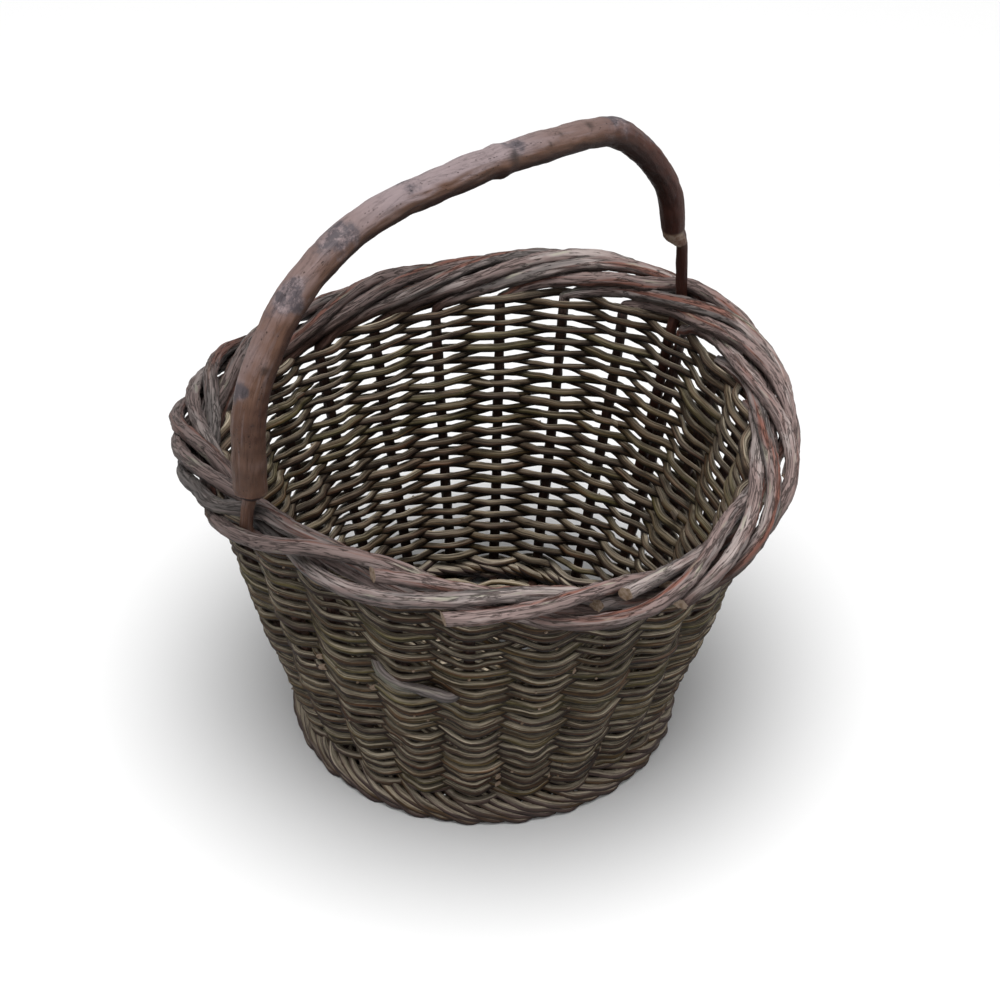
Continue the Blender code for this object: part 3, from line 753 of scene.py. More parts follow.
def wall_tree():
    """Lays a strand's rods in and out of the stakes: each starts inside the wall and ends outside it."""
    shape = (
        "Start", "End", "Strand Start", "Channel", "Foot Radius", "Top Radius", "Belly", "Bottom", "Top",
        "Rise", "Crest", "Rod Radius", "Thin Share", "Spread", "Wander", "Bud Radius",
    )
    counts = dict.fromkeys(("Strand", "Rods", "Steps", "Rounds in All"), "int")
    tree = GeometryTree("wall_rods", **counts, **dict.fromkeys(shape, "float"), **SKIN_INPUTS)
    asked = tree.inputs
    line = tree.add("GeometryNodeCurvePrimitiveLine")["Curve"]
    line = tree.add("GeometryNodeResampleCurve", values={"Curve": line, "Count": asked["Steps"]})["Curve"]
    copies = tree.add(
        "GeometryNodeDuplicateElements", {"domain": "SPLINE"}, {"Geometry": line, "Amount": asked["Rods"]}
    )
    rods = tree.keep(copies["Geometry"], "number", copies["Duplicate Index"], domain="CURVE")
    rods = tree.keep(rods, "run", tree.add("GeometryNodeSplineParameter")["Factor"])
    number, run = tree.named("number"), tree.named("run")
    identity = number + asked["Seed"] * ROD_IDENTITIES

    pitch = math.tau / STAKES
    strand = asked["Strand"]

    def joint(count):
        """The stake, counted on from turn to turn, behind which a rod with this many before it begins."""
        reached = asked["Start"] + (asked["End"] - asked["Start"]) * count / asked["Rods"]
        stakes = (reached - asked["Channel"]) / pitch
        return tree.math("ROUND", (stakes - strand) / 2) * 2 + strand

    first = joint(number) - WEAVER_START
    whole = joint(number + 1) + WEAVER_END - first
    passed = run * whole
    turn = (first + passed) * pitch + asked["Channel"]

    def waver(number, paces, detail):
        """Noise from -0.5 to 0.5 that comes round with each turn of the wall, other for another number."""
        pace, apart = paces
        spot = tree.vector(tree.cos(turn) * pace, tree.sin(turn) * pace, number * apart)
        return tree.noise(spot, detail=detail) - 0.5

    phase = (first + passed + strand + 1) * math.pi + waver(identity, CREST_NOISE, 1) * CREST_SHIFT
    wave = (tree.cos(phase) + tree.cos(phase * 3) * THIRD_WAVE) / (1 + THIRD_WAVE)
    started = tree.ease(passed, 0, EASE_OUT)
    unfinished = tree.ease(whole - passed, 0, EASE_IN)
    off = wave * started * unfinished + (1 - started) * START_OUT + (1 - unfinished) * END_OUT
    off = off * asked["Crest"]

    climbed = (turn - asked["Strand Start"]) * STRANDS / math.tau
    share = (climbed + 0.5) / (asked["Rounds in All"] + 1)
    wide = asked["Top Radius"] - asked["Foot Radius"]
    high = asked["Top"] - asked["Bottom"]
    slope = (wide + asked["Belly"] * 4 * (1 - 2 * share)) / high
    upright = 1 / (1 + slope * slope) ** 0.5
    radius = asked["Foot Radius"] + wide * share + asked["Belly"] * 4 * share * (1 - share) + off * upright
    lifted = high + asked["Rise"] * tree.cos(turn * 2)
    fade = tree.ease(share, *WANDER_FROM) * (1 - tree.ease(share, *WANDER_TO))
    stray = waver(climbed, WANDER_NOISE, 2) * 2 * fade + waver(identity, SHIVER_NOISE, 2) * SHIVER_SHARE
    height = asked["Bottom"] + lifted * share - off * upright * slope + stray * asked["Wander"]
    rods = tree.move(rods, Position=tree.vector(tree.cos(turn) * radius, tree.sin(turn) * radius, height))

    own = 1 + (tree.chance(5, ID=identity) - 0.5) * 2 * asked["Spread"]
    half = asked["Rod Radius"] * own * (1 - run * (1 - asked["Thin Share"]))
    rods = tree.add("GeometryNodeSetCurveRadius", values={"Curve": rods, "Radius": half})["Curve"]
    rods = tree.add("GeometryNodeSetCurveNormal", {"mode": "Z_UP"}, {"Curve": rods})["Curve"]
    rods = tree.keep(tree.keep(rods, "half", half), "bulge", wave)
    tube, is_side = skin(tree, rods)

    sockets = {"Curve": rods, "Length": BUD_STEP}
    spots = tree.add("GeometryNodeCurveToPoints", {"mode": "LENGTH"}, sockets)["Points"]
    x, y, _ = tree.parts(tree.position())
    aside = tree.unit(tree.vector(x, y, 0))
    aside = tree.unit(tree.vector_math("ADD", aside, tree.vector(0, 0, (tree.chance(12) - BUDS_BELOW) * 2)))
    spots = tree.move(spots, Offset=tree.stretch(aside, tree.named("half") * BUD_SEAT))
    sockets = {"Radius": asked["Bud Radius"], "Subdivisions": 1}
    bud = tree.add("GeometryNodeMeshIcoSphere", values=sockets)["Mesh"]
    size = BUD_LEAST + tree.chance(14) * BUD_SPREAD
    sockets = {
        "Points": spots,
        "Selection": tree.math("LESS_THAN", tree.chance(13), BUD_CHANCE),
        "Instance": bud,
        "Scale": tree.vector(size * BUD_LENGTH, size, size),
    }
    buds = tree.add("GeometryNodeInstanceOnPoints", values=sockets)["Instances"]
    buds = tree.paint(tree.realize(buds), Material=asked["Cut Wood"])
    own = ("number", "run", "half")
    return finish_skin(tree, tree.drop(tube, *own), is_side, tree.drop(buds, *own, "bulge"))


class Coat(Tree):
    """A material whose base colour is laid down in layers."""

    def __init__(self, name):
        self.made = bpy.data.materials.new(name)
        self.made.use_nodes = True
        super().__init__(self.made.node_tree.nodes, self.made.node_tree.links)
        self.surface = self.nodes["Principled BSDF"].inputs
        self.base = None

    def attribute(self, name, output="Fac"):
        return self.add("ShaderNodeAttribute", {"attribute_name": name})[output]

    def spot(self):
        """The place, in the basket's axes."""
        return self.add("ShaderNodeTexCoord")["Object"]

    def facing(self):
        return self.parts(self.add("ShaderNodeNewGeometry")["Normal"])

    def upward(self):
        """How much a surface faces the sky, from -1 to 1."""
        return self.facing()[2]

    def outward(self):
        """How much a surface faces away from the basket's middle line, from -1 to 1."""
        x, y, _ = self.parts(self.spot())
        across, ahead, _ = self.facing()
        return (x * across + y * ahead) / (x * x + y * y) ** 0.5

    def grain(self, around, along, **noise):
        """Noise on a rod's bark, with this many features round it and this many to a metre along it."""
        x, y, _ = self.parts(self.attribute("ring", "Vector"))
        run = self.attribute("along") * along + self.attribute("tone") * TONE_SHIFT
        return self.noise(self.vector(x * around, y * around, run), **noise)

    def blend(self, share, first, second):
        first, second = (end if isinstance(end, Field) else (*end, 1) for end in (first, second))
        return self.add("ShaderNodeMix", {"data_type": "RGBA"}, {0: share, 6: first, 7: second})[2]

    def ramp(self, place, *stops):
        """The colour at this place, between stops that are each a place and a colour."""
        stops = [(spot, (*shade, 1)) for spot, shade in stops]
        return self.add("ShaderNodeValToRGB", {"stops": stops}, {"Fac": place})["Color"]

    def lay(self, share, colour):
        """Lays this share of a colour over the base."""
        self.base = self.blend(share, self.base, colour)

    def patch(self, colour, around, along, low, high, share=1.0, lean=0.0, detail=3.0):
        """Lays patches of a colour where the grain with this lean is over high, fading out down to low."""
        field = self.grain(around, along, detail=detail) + lean
        self.lay(self.ease(field, low, high) * share, colour)

    def crease(self, colour, around, along, width, share):
        """Lays wavy lines of a colour along a rod, and gives 0 in a line and 1 beside it."""
        field = self.grain(around, along, detail=4, roughness=0.6, waver=0.8)
        beside = self.ease(self.size(field - 0.5), 0.0, width)
        self.lay((1 - beside) * share, colour)
        return beside

    def darkened(self, colour, factor):
        """The colour made darker or lighter by a varying factor."""
        settings = {"data_type": "RGBA", "blend_type": "MULTIPLY", "clamp_result": False}
        grey = self.vector(factor, factor, factor)
        return self.add("ShaderNodeMix", settings, {0: 1.0, 6: colour, 7: grey})[2]

    def shade(self, factor):
        self.base = self.darkened(self.base, factor)

    def shade_undersides(self, darkest, unshaded_from=0.45):
        """Paints shade on the undersides: darkens the base by this share where it faces down, and less up to
        where it faces up this much.
        """
        self.shade(1 - (1 - self.ease(self.upward(), -0.6, unshaded_from)) * darkest)

    def finish(self, rough, height, distance, gloss=0.2):
        bump = self.add("ShaderNodeBump", values={"Height": height, "Distance": distance})["Normal"]
        values = {"Base Color": self.base, "Specular IOR Level": gloss, "Roughness": rough, "Normal": bump}
        for name, value in values.items():
            self.put(self.surface[name], value)


def weaver_bark(colours):
    """Thin brown rods, each of its own tint, weathered grey with a painted highlight on top, and with painted
    shade underneath, on their inner side and where they cross.
    """
    bark = Coat("weaver_bark")
    tone = bark.attribute("tone")
    patches = bark.grain(0.6, 14)
    bark.base = bark.ramp(
        tone * 0.75 + patches * 0.5 - 0.12,
        (0.12, colours.weaver_plum),
        (0.3, colours.weaver_brown),
        (0.42, colours.weaver_olive),
        (0.54, colours.weaver_brown),
        (0.72, colours.weaver_plum),
        (0.9, colours.weaver_tan),
    )
    bark.patch(colours.weaver_rust, 0.7, 24, low=0.54, high=0.66, share=0.55, detail=2)
    fibres = bark.grain(4.0, 30, detail=6, roughness=0.7)
    # Pale weathered bloom on the upper sides, which is also a painted highlight
    bloom_and_highlight = bark.ease(bark.upward() + (fibres - 0.5) * 1.7 + (patches - 0.5) * 0.9, 0.25, 0.95)
    outside = bark.ease(bark.outward(), -0.25, 0.3)
    # Less bloom and painted highlight on the wall's inner side
    bark.lay(bloom_and_highlight * (0.7 + tone * 0.4) * (0.3 + outside * 0.7), colours.weathered_highlight)
    # Lengthwise fibres, and painted shade on the wall's inner side
    bark.shade((0.22 + fibres * 1.65) * (0.75 + outside * 0.25))
    lines = bark.crease(colours.seam_brown, 2.0, 12, width=0.06, share=0.8)
    # Painted shade where the rods cross between the stakes
    tucked = 1 - bark.ease(bark.size(bark.attribute("bulge")), 0.05, 0.5)
    bark.shade(1 - tucked * 0.2)
    # Painted shade on the undersides
    bark.shade_undersides(0.95, 0.55)
    bark.finish(0.5 + fibres * 0.2, fibres * 0.7 + lines * 0.5, 0.0008, 0.15)


# The way across the basket in which the painted shadow on the border fades, and from where to where
SHADOW_WAY = (0.6, -0.8)
SHADOW_FADES = (-0.12, 0.04)
# How far under the rim the stakes are dark red, partly their bark and partly painted shade, and where they
# start to turn
COVERED, BARE = 0.035, 0.015


def stake_bark(colours, rim):
    """Shrivelled mauve bark of the border under a painted shadow towards -X and +Y, and dark red lower down
    the stakes, partly painted shade.
    """
    bark = Coat("stake_bark")
    tone = bark.attribute("tone") - 0.5
    bark.base = colours.border_mauve
    bark.patch(colours.border_pink, 0.7, 22, low=0.48, high=0.62, lean=tone * 0.2, detail=4)
    bark.patch(colours.border_grey, 0.9, 13, low=0.52, high=0.68, lean=tone * 0.3, detail=2)
    bark.patch(colours.border_red, 0.8, 9, low=0.53, high=0.66, share=0.85)
    bark.patch(colours.border_lichen, 1.1, 30, low=0.63, high=0.72, share=0.6, lean=bark.upward() * 0.05)
    fibres = bark.grain(3.2, 60, detail=6, roughness=0.7, waver=0.6)
    bark.shade(0.6 + fibres * 0.9)
    creases = bark.crease(colours.seam_brown, 1.7, 30, width=0.045, share=0.7)
    x, y, height = bark.parts(bark.spot())
    # Painted shadow over the border towards -X and +Y
    bark.shade(0.5 + 0.5 * bark.ease(x * SHADOW_WAY[0] + y * SHADOW_WAY[1], *SHADOW_FADES))
    # Dark red with painted shade on the stakes under the weaving
    bark.lay(1 - bark.ease(height, rim - COVERED, rim - BARE), colours.shaded_stake_red)
    # Painted shade on the undersides
    bark.shade_undersides(0.6)
    bark.finish(0.52 + fibres * 0.2, fibres * 0.5 + creases * 0.8, 0.0009)


def plain_bark(colours, name, main, patch, bloom_and_highlight):
    """Bark of one main colour with patches, lengthwise fibres, a pale bloom on its upper side that is also a
    painted highlight, and painted shade underneath.
    """
    bark = Coat(name)
    fibres = bark.grain(3.5, 40, detail=5, roughness=0.65)
    bark.base = main
    bark.patch(patch, 0.7, 18, low=0.5, high=0.72, lean=bark.attribute("tone") * 0.15)
    # Pale bloom and painted highlight on the upper side
    bark.lay(bark.ease(bark.upward() + (fibres - 0.5) * 1.6, 0.35, 1) * 0.7, bloom_and_highlight)
    bark.shade(0.4 + fibres * 1.2)
    creases = bark.crease(colours.seam_brown, 2.0, 14, width=0.04, share=0.6)
    # Painted shade on the undersides
    bark.shade_undersides(0.85, 0.6)
    bark.finish(0.55 + fibres * 0.2, fibres * 0.6 + creases * 0.4, 0.0006)


# How strong the handle's mauve bloom and painted highlight on top are along the basket's width, from the
# thick end to the thin one
BLOOM_AND_HIGHLIGHT_FROM, BLOOM_AND_HIGHLIGHT_TO = -0.2, 0.2
BLOOM_AND_HIGHLIGHT_SHARES = (
    (0.0, 0.9), (0.08, 0.5), (0.18, 0.4), (0.3, 1.0), (0.52, 1.0), (0.62, 0.45), (0.74, 0.3), (0.86, 0.05),
)


def branch_bark(colours):
    """The handle's bark: mauve above, partly a painted highlight, brown at the sides, dark red below, partly
    painted shade, with slate patches and specks.
    """
    bark = Coat("branch_bark")
    spot = bark.spot()
    across, _, _ = bark.parts(spot)
    wide = bark.noise(spot, scale=26, detail=4) - 0.5
    fibres = bark.grain(3.0, 90, detail=6, roughness=0.65, waver=0.5)
    rise = bark.upward() + wide * 1.1
    thin_end = bark.ease(across + wide * 0.05, 0.07, 0.14)
    # Dark red with painted shade below, brown at the sides
    bark.base = bark.blend(bark.ease(rise, -0.55, 0.2), colours.branch_red_and_shade, colours.branch_brown)
    bark.lay(thin_end * 0.9, colours.branch_red_and_shade)
    place = (across - BLOOM_AND_HIGHLIGHT_FROM) / (BLOOM_AND_HIGHLIGHT_TO - BLOOM_AND_HIGHLIGHT_FROM)
    bloom_and_highlight = bark.ramp(place, *((spot, (grey, grey, grey)) for spot, grey in BLOOM_AND_HIGHLIGHT_SHARES))
    # Mauve bloom with a painted highlight on top
    bark.lay(bark.ease(rise, 0.15, 0.75) * bark.parts(bloom_and_highlight)[0], colours.branch_mauve_and_highlight)
    edges = (bark.noise(spot, scale=90, detail=6) - 0.5) * 2.2
    spotted = bark.ease(bark.attribute("slate") + edges, 0.2, 0.8)
    slates = bark.noise(spot, scale=17, detail=5, roughness=0.6) + bark.upward() * 0.04
    mottle = bark.noise(spot, scale=140, detail=5, roughness=0.7)
    slate = bark.blend(bark.ease(mottle, 0.46, 0.66), colours.branch_slate, colours.branch_mauve_and_highlight)
    bark.lay(bark.most(bark.ease(slates, 0.64, 0.7), spotted) * 0.85, slate)
    bark.patch(colours.branch_mauve_and_highlight, 2.5, 22, low=0.54, high=0.68, share=(1 - thin_end) * 0.3, detail=4)
    bark.shade(0.72 + fibres * 0.56)
    x, y, _ = bark.parts(bark.attribute("ring", "Vector"))
    cells = bark.vector(x * 5, y * 5, bark.attribute("along") * 330)
    dots = bark.add("ShaderNodeTexVoronoi", {"feature": "F1"}, {"Vector": cells, "Scale": 1})["Distance"]
    rare = bark.ease(bark.grain(2.2, 60, detail=1), 0.5, 0.62)
    specks = (1 - bark.ease(dots, 0.12, 0.24)) * rare
    bark.lay(specks * 0.6, colours.seam_brown)
    creases = bark.crease(colours.seam_brown, 2.2, 26, width=0.014, share=0.12)
    bark.lay(bark.attribute("knot") * 0.8, colours.seam_brown)
    # Painted shade on the undersides
    bark.shade_undersides(0.82, 0.55)
    bare = bark.blend(bark.ease(mottle, 0.4, 0.6), colours.cut_wood, colours.branch_brown)
    bark.lay(bark.attribute("pared"), bark.darkened(bare, 0.5 + fibres))
    bark.finish(0.5 + fibres * 0.18, fibres * 0.5 + creases * 0.15 - specks * 0.5, 0.001)


def cut_wood(colours):
    """Dull wood of a cut end."""
    bark = Coat("cut_wood")
    grime = bark.noise(bark.spot(), scale=420, detail=3)
    bark.base = bark.blend(bark.ease(grime, 0.35, 0.7) * 0.7, colours.cut_wood, colours.weaver_brown)
    bark.finish(0.7 + grime * 0.1, grime, 0.0004)


def lay_rods(name, rods, values, slot, *nodes, tree=None):
    """Makes a piece of rods, given as rod_paths takes them, that stands for these nodes."""
    curve = rod_paths(name, *rods)
    settle(grow(name, tree or rod_tree(), values, curve), slot, *nodes)


class BasketOperator(bpy.types.Operator):
    """What the basket's operators share."""

    bl_options = {"REGISTER", "UNDO"}

    def execute(self, context):
        self.plan = Plan(context.scene.basket_sizes)
        self.colours = context.scene.basket_colours
        self.build()
        return {"FINISHED"}


class BASKET_OT_barks(BasketOperator):
    """Make the barks and the cut wood."""

    bl_idname = "basket.barks"
    bl_label = "Barks"

    def build(self):
        colours = self.colours
        weaver_bark(colours)
        stake_bark(colours, self.plan.sizes.rim_height)
        plain_bark(colours, "wale_bark", colours.wale_purple, colours.weaver_brown, colours.weathered_highlight)
        plain_bark(colours, "base_bark", colours.base_tan, colours.weaver_tan, colours.weathered_highlight)
        plain_bark(colours, "weathered_bark", colours.border_grey, colours.border_lichen, colours.border_pink)
        branch_bark(colours)
        cut_wood(colours)


class BASKET_OT_wall(BasketOperator):
    """Weave the wall, one piece for each course of the frame."""

    bl_idname = "basket.wall"
    bl_label = "Wall weaving"

    UNDER_BORDER = 0.011
    RODS_PER_COURSE = (2, 3)
    GREY_ROD_RADIUS = 0.0038
    # The thick grey rod let into the wall: where its points lie round it, how high, and how many crests out
    GREY_ROD = (
        (math.radians(-158.5), 0.152, -0.4),
        (math.radians(-155.2), 0.1505, 0.9),
        (math.radians(-151.5), 0.147, 1.25),
        (math.radians(-147.5), 0.1435, 1.0),
        (math.radians(-144), 0.1415, 1.0),
        (math.radians(-141), 0.14, 1.1),
        (math.radians(-139), 0.139, 0.2),
    )

    def build(self):
        plan, sizes = self.plan, self.plan.sizes
        tree = wall_tree()
        for course in range(WALL_COURSES):
            number, strand = divmod(course, STRANDS)
            start, end = plan.strand_joints(strand)[number:number + 2]
            rods = self.RODS_PER_COURSE[(number + strand) % len(self.RODS_PER_COURSE)]
            values = bark_values(
                course, "weaver_bark", Sides=11, Lump=0.16, Lump_Length=0.014, Furrow=0.0004,
                Furrow_Width=0.002, Furrow_Length=0.03, Slant=0.9,
                Strand=strand,
                Rods=rods,
                Steps=round((end - start) / plan.pitch / rods * STEPS_PER_STAKE),
                Rounds_in_All=sizes.wall_rounds,
                Start=start,
                End=end,
                Strand_Start=plan.strand_start(strand),
                Channel=plan.channel_angle(0),
                Foot_Radius=plan.wall_foot,
                Top_Radius=plan.wall_top,
                Belly=sizes.wall_belly,
                Bottom=plan.weave_bottom,
                Top=plan.weave_top + self.UNDER_BORDER,
                Rise=sizes.rim_rise,
                Crest=sizes.stake_radius + sizes.weaver_radius + plan.CLEARANCE,
                Rod_Radius=sizes.weaver_radius,
                Thin_Share=0.88,
                Spread=0.24,
                Wander=0.0036,
                Bud_Radius=0.0008,
            )
            name = f"{course + 1:02d}"
            settle(grow("wall_rods_" + name, tree, values), "weaver_willow", "wall_course_" + name)
        self.grey_rod(plan)

    def grey_rod(self, plan):
        crest = plan.sizes.stake_radius + plan.sizes.weaver_radius
        points = []
        for angle, height, out in self.GREY_ROD:
            share = (height - plan.weave_bottom) / (plan.weave_top + plan.rim_lift(angle) - plan.weave_bottom)
            points.append(at(plan.wall_radius(share) + crest * out, angle, height))
        path = smooth(points, STEPS_PER_STAKE)
        values = bark_values(
            60, "weathered_bark", Sides=24, Lump=0.25, Lump_Length=0.012, Furrow=0.0007, Furrow_Width=0.003,
            Furrow_Length=0.02, Slant=0.5,
        )
        lay_rods("grey_wall_rod", [even_rod(path, self.GREY_ROD_RADIUS)], values, "weaver_willow")


class BASKET_OT_stakes(BasketOperator):
    """Raise the stakes from the base and lay them down into the border."""

    bl_idname = "basket.stakes"
    bl_label = "Stakes and border"

    STEPS = 6
    WALL_POINTS = 6
    BORDER_STAGES = 6.4
    TUCK_STAGE = 4.9
    TUCK_SHARE = 0.75
    # Rods of the border that end early, on its top or outside: the stage of each one's end
    SHORT_RODS = {1: 4.6, 6: 4.4, 17: 3.1, 19: 4.25, 20: 3.1, 22: 4.4}
    SPRING_STAGES = 0.9
    SPRING = 0.002
    TIP_SHARE = 0.85
    STRAY = 0.0012
    # Waves of the wander out and up: radians to a stage, radians from rod to rod, and a shift
    STRAY_WAVES = ((2.1, 2.4, 0), (1.7, 4.1, 1))
    # Over how many thicknesses the border parts round an end of the handle
    PARTING_REACH = 3.5

    def border_end(self, index):
        return self.SHORT_RODS.get(index, self.BORDER_STAGES)

    def border_point(self, index, stage):
        plan = self.plan
        out, up = (
            offset + self.STRAY * math.sin(pace * stage + apart * index + shift)
            for offset, (pace, apart, shift) in zip(plan.border_offset(stage), self.STRAY_WAVES)
        )
        angle = plan.channel_angle(index) - stage * plan.pitch
        if index in self.SHORT_RODS:
            late = max(stage - self.border_end(index) + self.SPRING_STAGES, 0)
            away = Vector((out, up)).normalized() * (self.SPRING * late / self.SPRING_STAGES)
            out, up = out + away.x, up + away.y
        else:
            late = max(stage - self.TUCK_STAGE, 0)
            tucked = late / (self.BORDER_STAGES - self.TUCK_STAGE) * self.TUCK_SHARE
            out, up = out * (1 - tucked), up * (1 - tucked)
        for side, rods_inside in ((0, plan.RODS_INSIDE_TIP), (math.pi, plan.RODS_INSIDE_BUTT)):
            apart = plan.border_radius * ((angle - side + math.pi) % math.tau - math.pi)
            seat = plan.tail_seat(rods_inside)
            room = plan.sizes.border_radius + plan.sizes.tail_radius
            near = max(1 - abs(apart) / (self.PARTING_REACH * room), 0)
            if near and abs(out - seat) < room and stage > 1:
                wanted = seat + math.copysign(room, out - seat)
                out += (wanted - out) * near**0.5
        return at(plan.border_radius + out, angle, plan.border_height + plan.rim_lift(angle) + up)

    def path(self, index):
        """Points of a stake and its half thickness at each."""
        plan, sizes = self.plan, self.plan.sizes
        angle = plan.stake_angle(index)
        points = [
            at(radius, plan.base_angle(index, radius), plan.base_height(radius))
            for radius in (plan.STAKE_TIP_RADIUS, (plan.STAKE_TIP_RADIUS + plan.base_edge) / 2)
        ]
        for turn in (0, math.pi / 4, math.pi / 2):
            radius = plan.base_edge + plan.kink * math.sin(turn)
            points.append(at(radius, angle, plan.base_edge_height + plan.kink * (1 - math.cos(turn))))
        points += [plan.wall_point((step + 1) / self.WALL_POINTS, angle) for step in range(self.WALL_POINTS)]
        upright = len(points)
        foot = plan.border_height - plan.border_drop - plan.STAKE_BEND_RADIUS
        bend = plan.STAKE_BEND_RADIUS / plan.border_radius
        for turn in (math.pi / 4, math.pi / 2):
            along = angle - bend * (1 - math.cos(turn))
            up = foot + plan.rim_lift(along) + plan.STAKE_BEND_RADIUS * math.sin(turn)
            points.append(at(plan.wall_top, along, up))
        begun = plan.first_stage - 0.5
        run = self.border_end(index) - begun
        count = round(2 * run)
        points += [self.border_point(index, begun + run * step / count) for step in range(count + 1)]
        path = smooth(points, self.STEPS)
        lying = (upright + 1) * self.STEPS
        thickness = []
        for step in range(len(path)):
            share = min(max((step - lying) / (2 * self.STEPS), 0), 1)
            tip = max(step - lying, 0) / (len(path) - 1 - lying)
            half = sizes.stake_radius + (sizes.border_radius - sizes.stake_radius) * share
            thickness.append(half * (1 - (1 - self.TIP_SHARE) * tip))
        return path, thickness

    def build(self):
        for index in range(STAKES):
            name = f"{index + 1:02d}"
            values = bark_values(
                100 + index, "stake_bark", Sides=24, Lump=0.14, Lump_Length=0.014, Furrow=0.0009,
                Furrow_Width=0.0026, Furrow_Length=0.022, Slant=0.5,
            )
            rods = [(*self.path(index), False)]
            lay_rods("willow_stake_" + name, rods, values, "stake_willow", "stake_" + name)


class BASKET_OT_foot(BasketOperator):
    """Twine the rods round the feet of the stakes."""

    bl_idname = "basket.foot"
    bl_label = "Foot wale"

    # Each strand is three slim rods side by side: how many stages ahead each lies, and its share of thickness
    STRAND_RODS = ((0, 0.95), (0.36, 0.8), (0.7, 0.85))
    TIGHT_SHARE = 0.98
    STEPS = 5
    PACKED_STEPS = 8
    PACKED_ROUNDS = ((0, 3), (1,), (2,))

    def wale_point(self, stage, angle):
        plan = self.plan
        turned = math.pi - plan.third * stage
        past_inside = abs((stage + WALE_RODS / 2) % WALE_RODS - WALE_RODS / 2)
        out = min(2 * past_inside, 2) - 1
        up = plan.wale_high * math.sin(turned) - plan.wale_lean * out
        return at(plan.wall_foot + plan.wale_crest * self.TIGHT_SHARE * out, angle, plan.wale_height + up)

    def twined(self, stage, share):
        """One rod of the wale, this many stages ahead of the first, with a share of the usual thickness."""
        angles = [self.plan.stake_angle(index) for index in range(STAKES + 1)]
        points = []
        for index, (angle, after) in enumerate(zip(angles, angles[1:])):
            points.append(self.wale_point(index + stage, angle))
            points.append(self.wale_point(index + stage + 0.5, (angle + after) / 2))
        path = smooth(points, self.STEPS, closed=True)
        return even_rod(path, self.plan.sizes.wale_radius * share, closed=True)

    def packed(self, below):
        """A round of plain weaving that lies behind the twined rods, this many rounds below the wall."""
        plan = self.plan
        half = plan.sizes.weaver_radius
        crest = plan.sizes.stake_radius + half
        path = []
        for step in range(STAKES * self.PACKED_STEPS):
            stakes = step / self.PACKED_STEPS
            wave = math.cos(math.pi * (stakes + below))
            height = plan.weave_bottom - 2 * half * below
            path.append(at(plan.wall_foot + crest * wave, plan.channel_angle(stakes), height))
        return even_rod(path, half, closed=True)

    def build(self):
        for number in range(WALE_RODS):
            rods = [self.twined(number + ahead, share) for ahead, share in self.STRAND_RODS]
            rods += [self.packed(below) for below in self.PACKED_ROUNDS[number]]
            values = bark_values(
                200 + number, "wale_bark", Sides=14, Lump=0.13, Furrow=0.0005, Furrow_Width=0.002,
                Furrow_Length=0.03, Ground=0.0,
            )
            node = f"foot_wale_rod_{number + 1}"
            lay_rods(f"twined_foot_rod_{number + 1}", rods, values, "wale_willow", node)


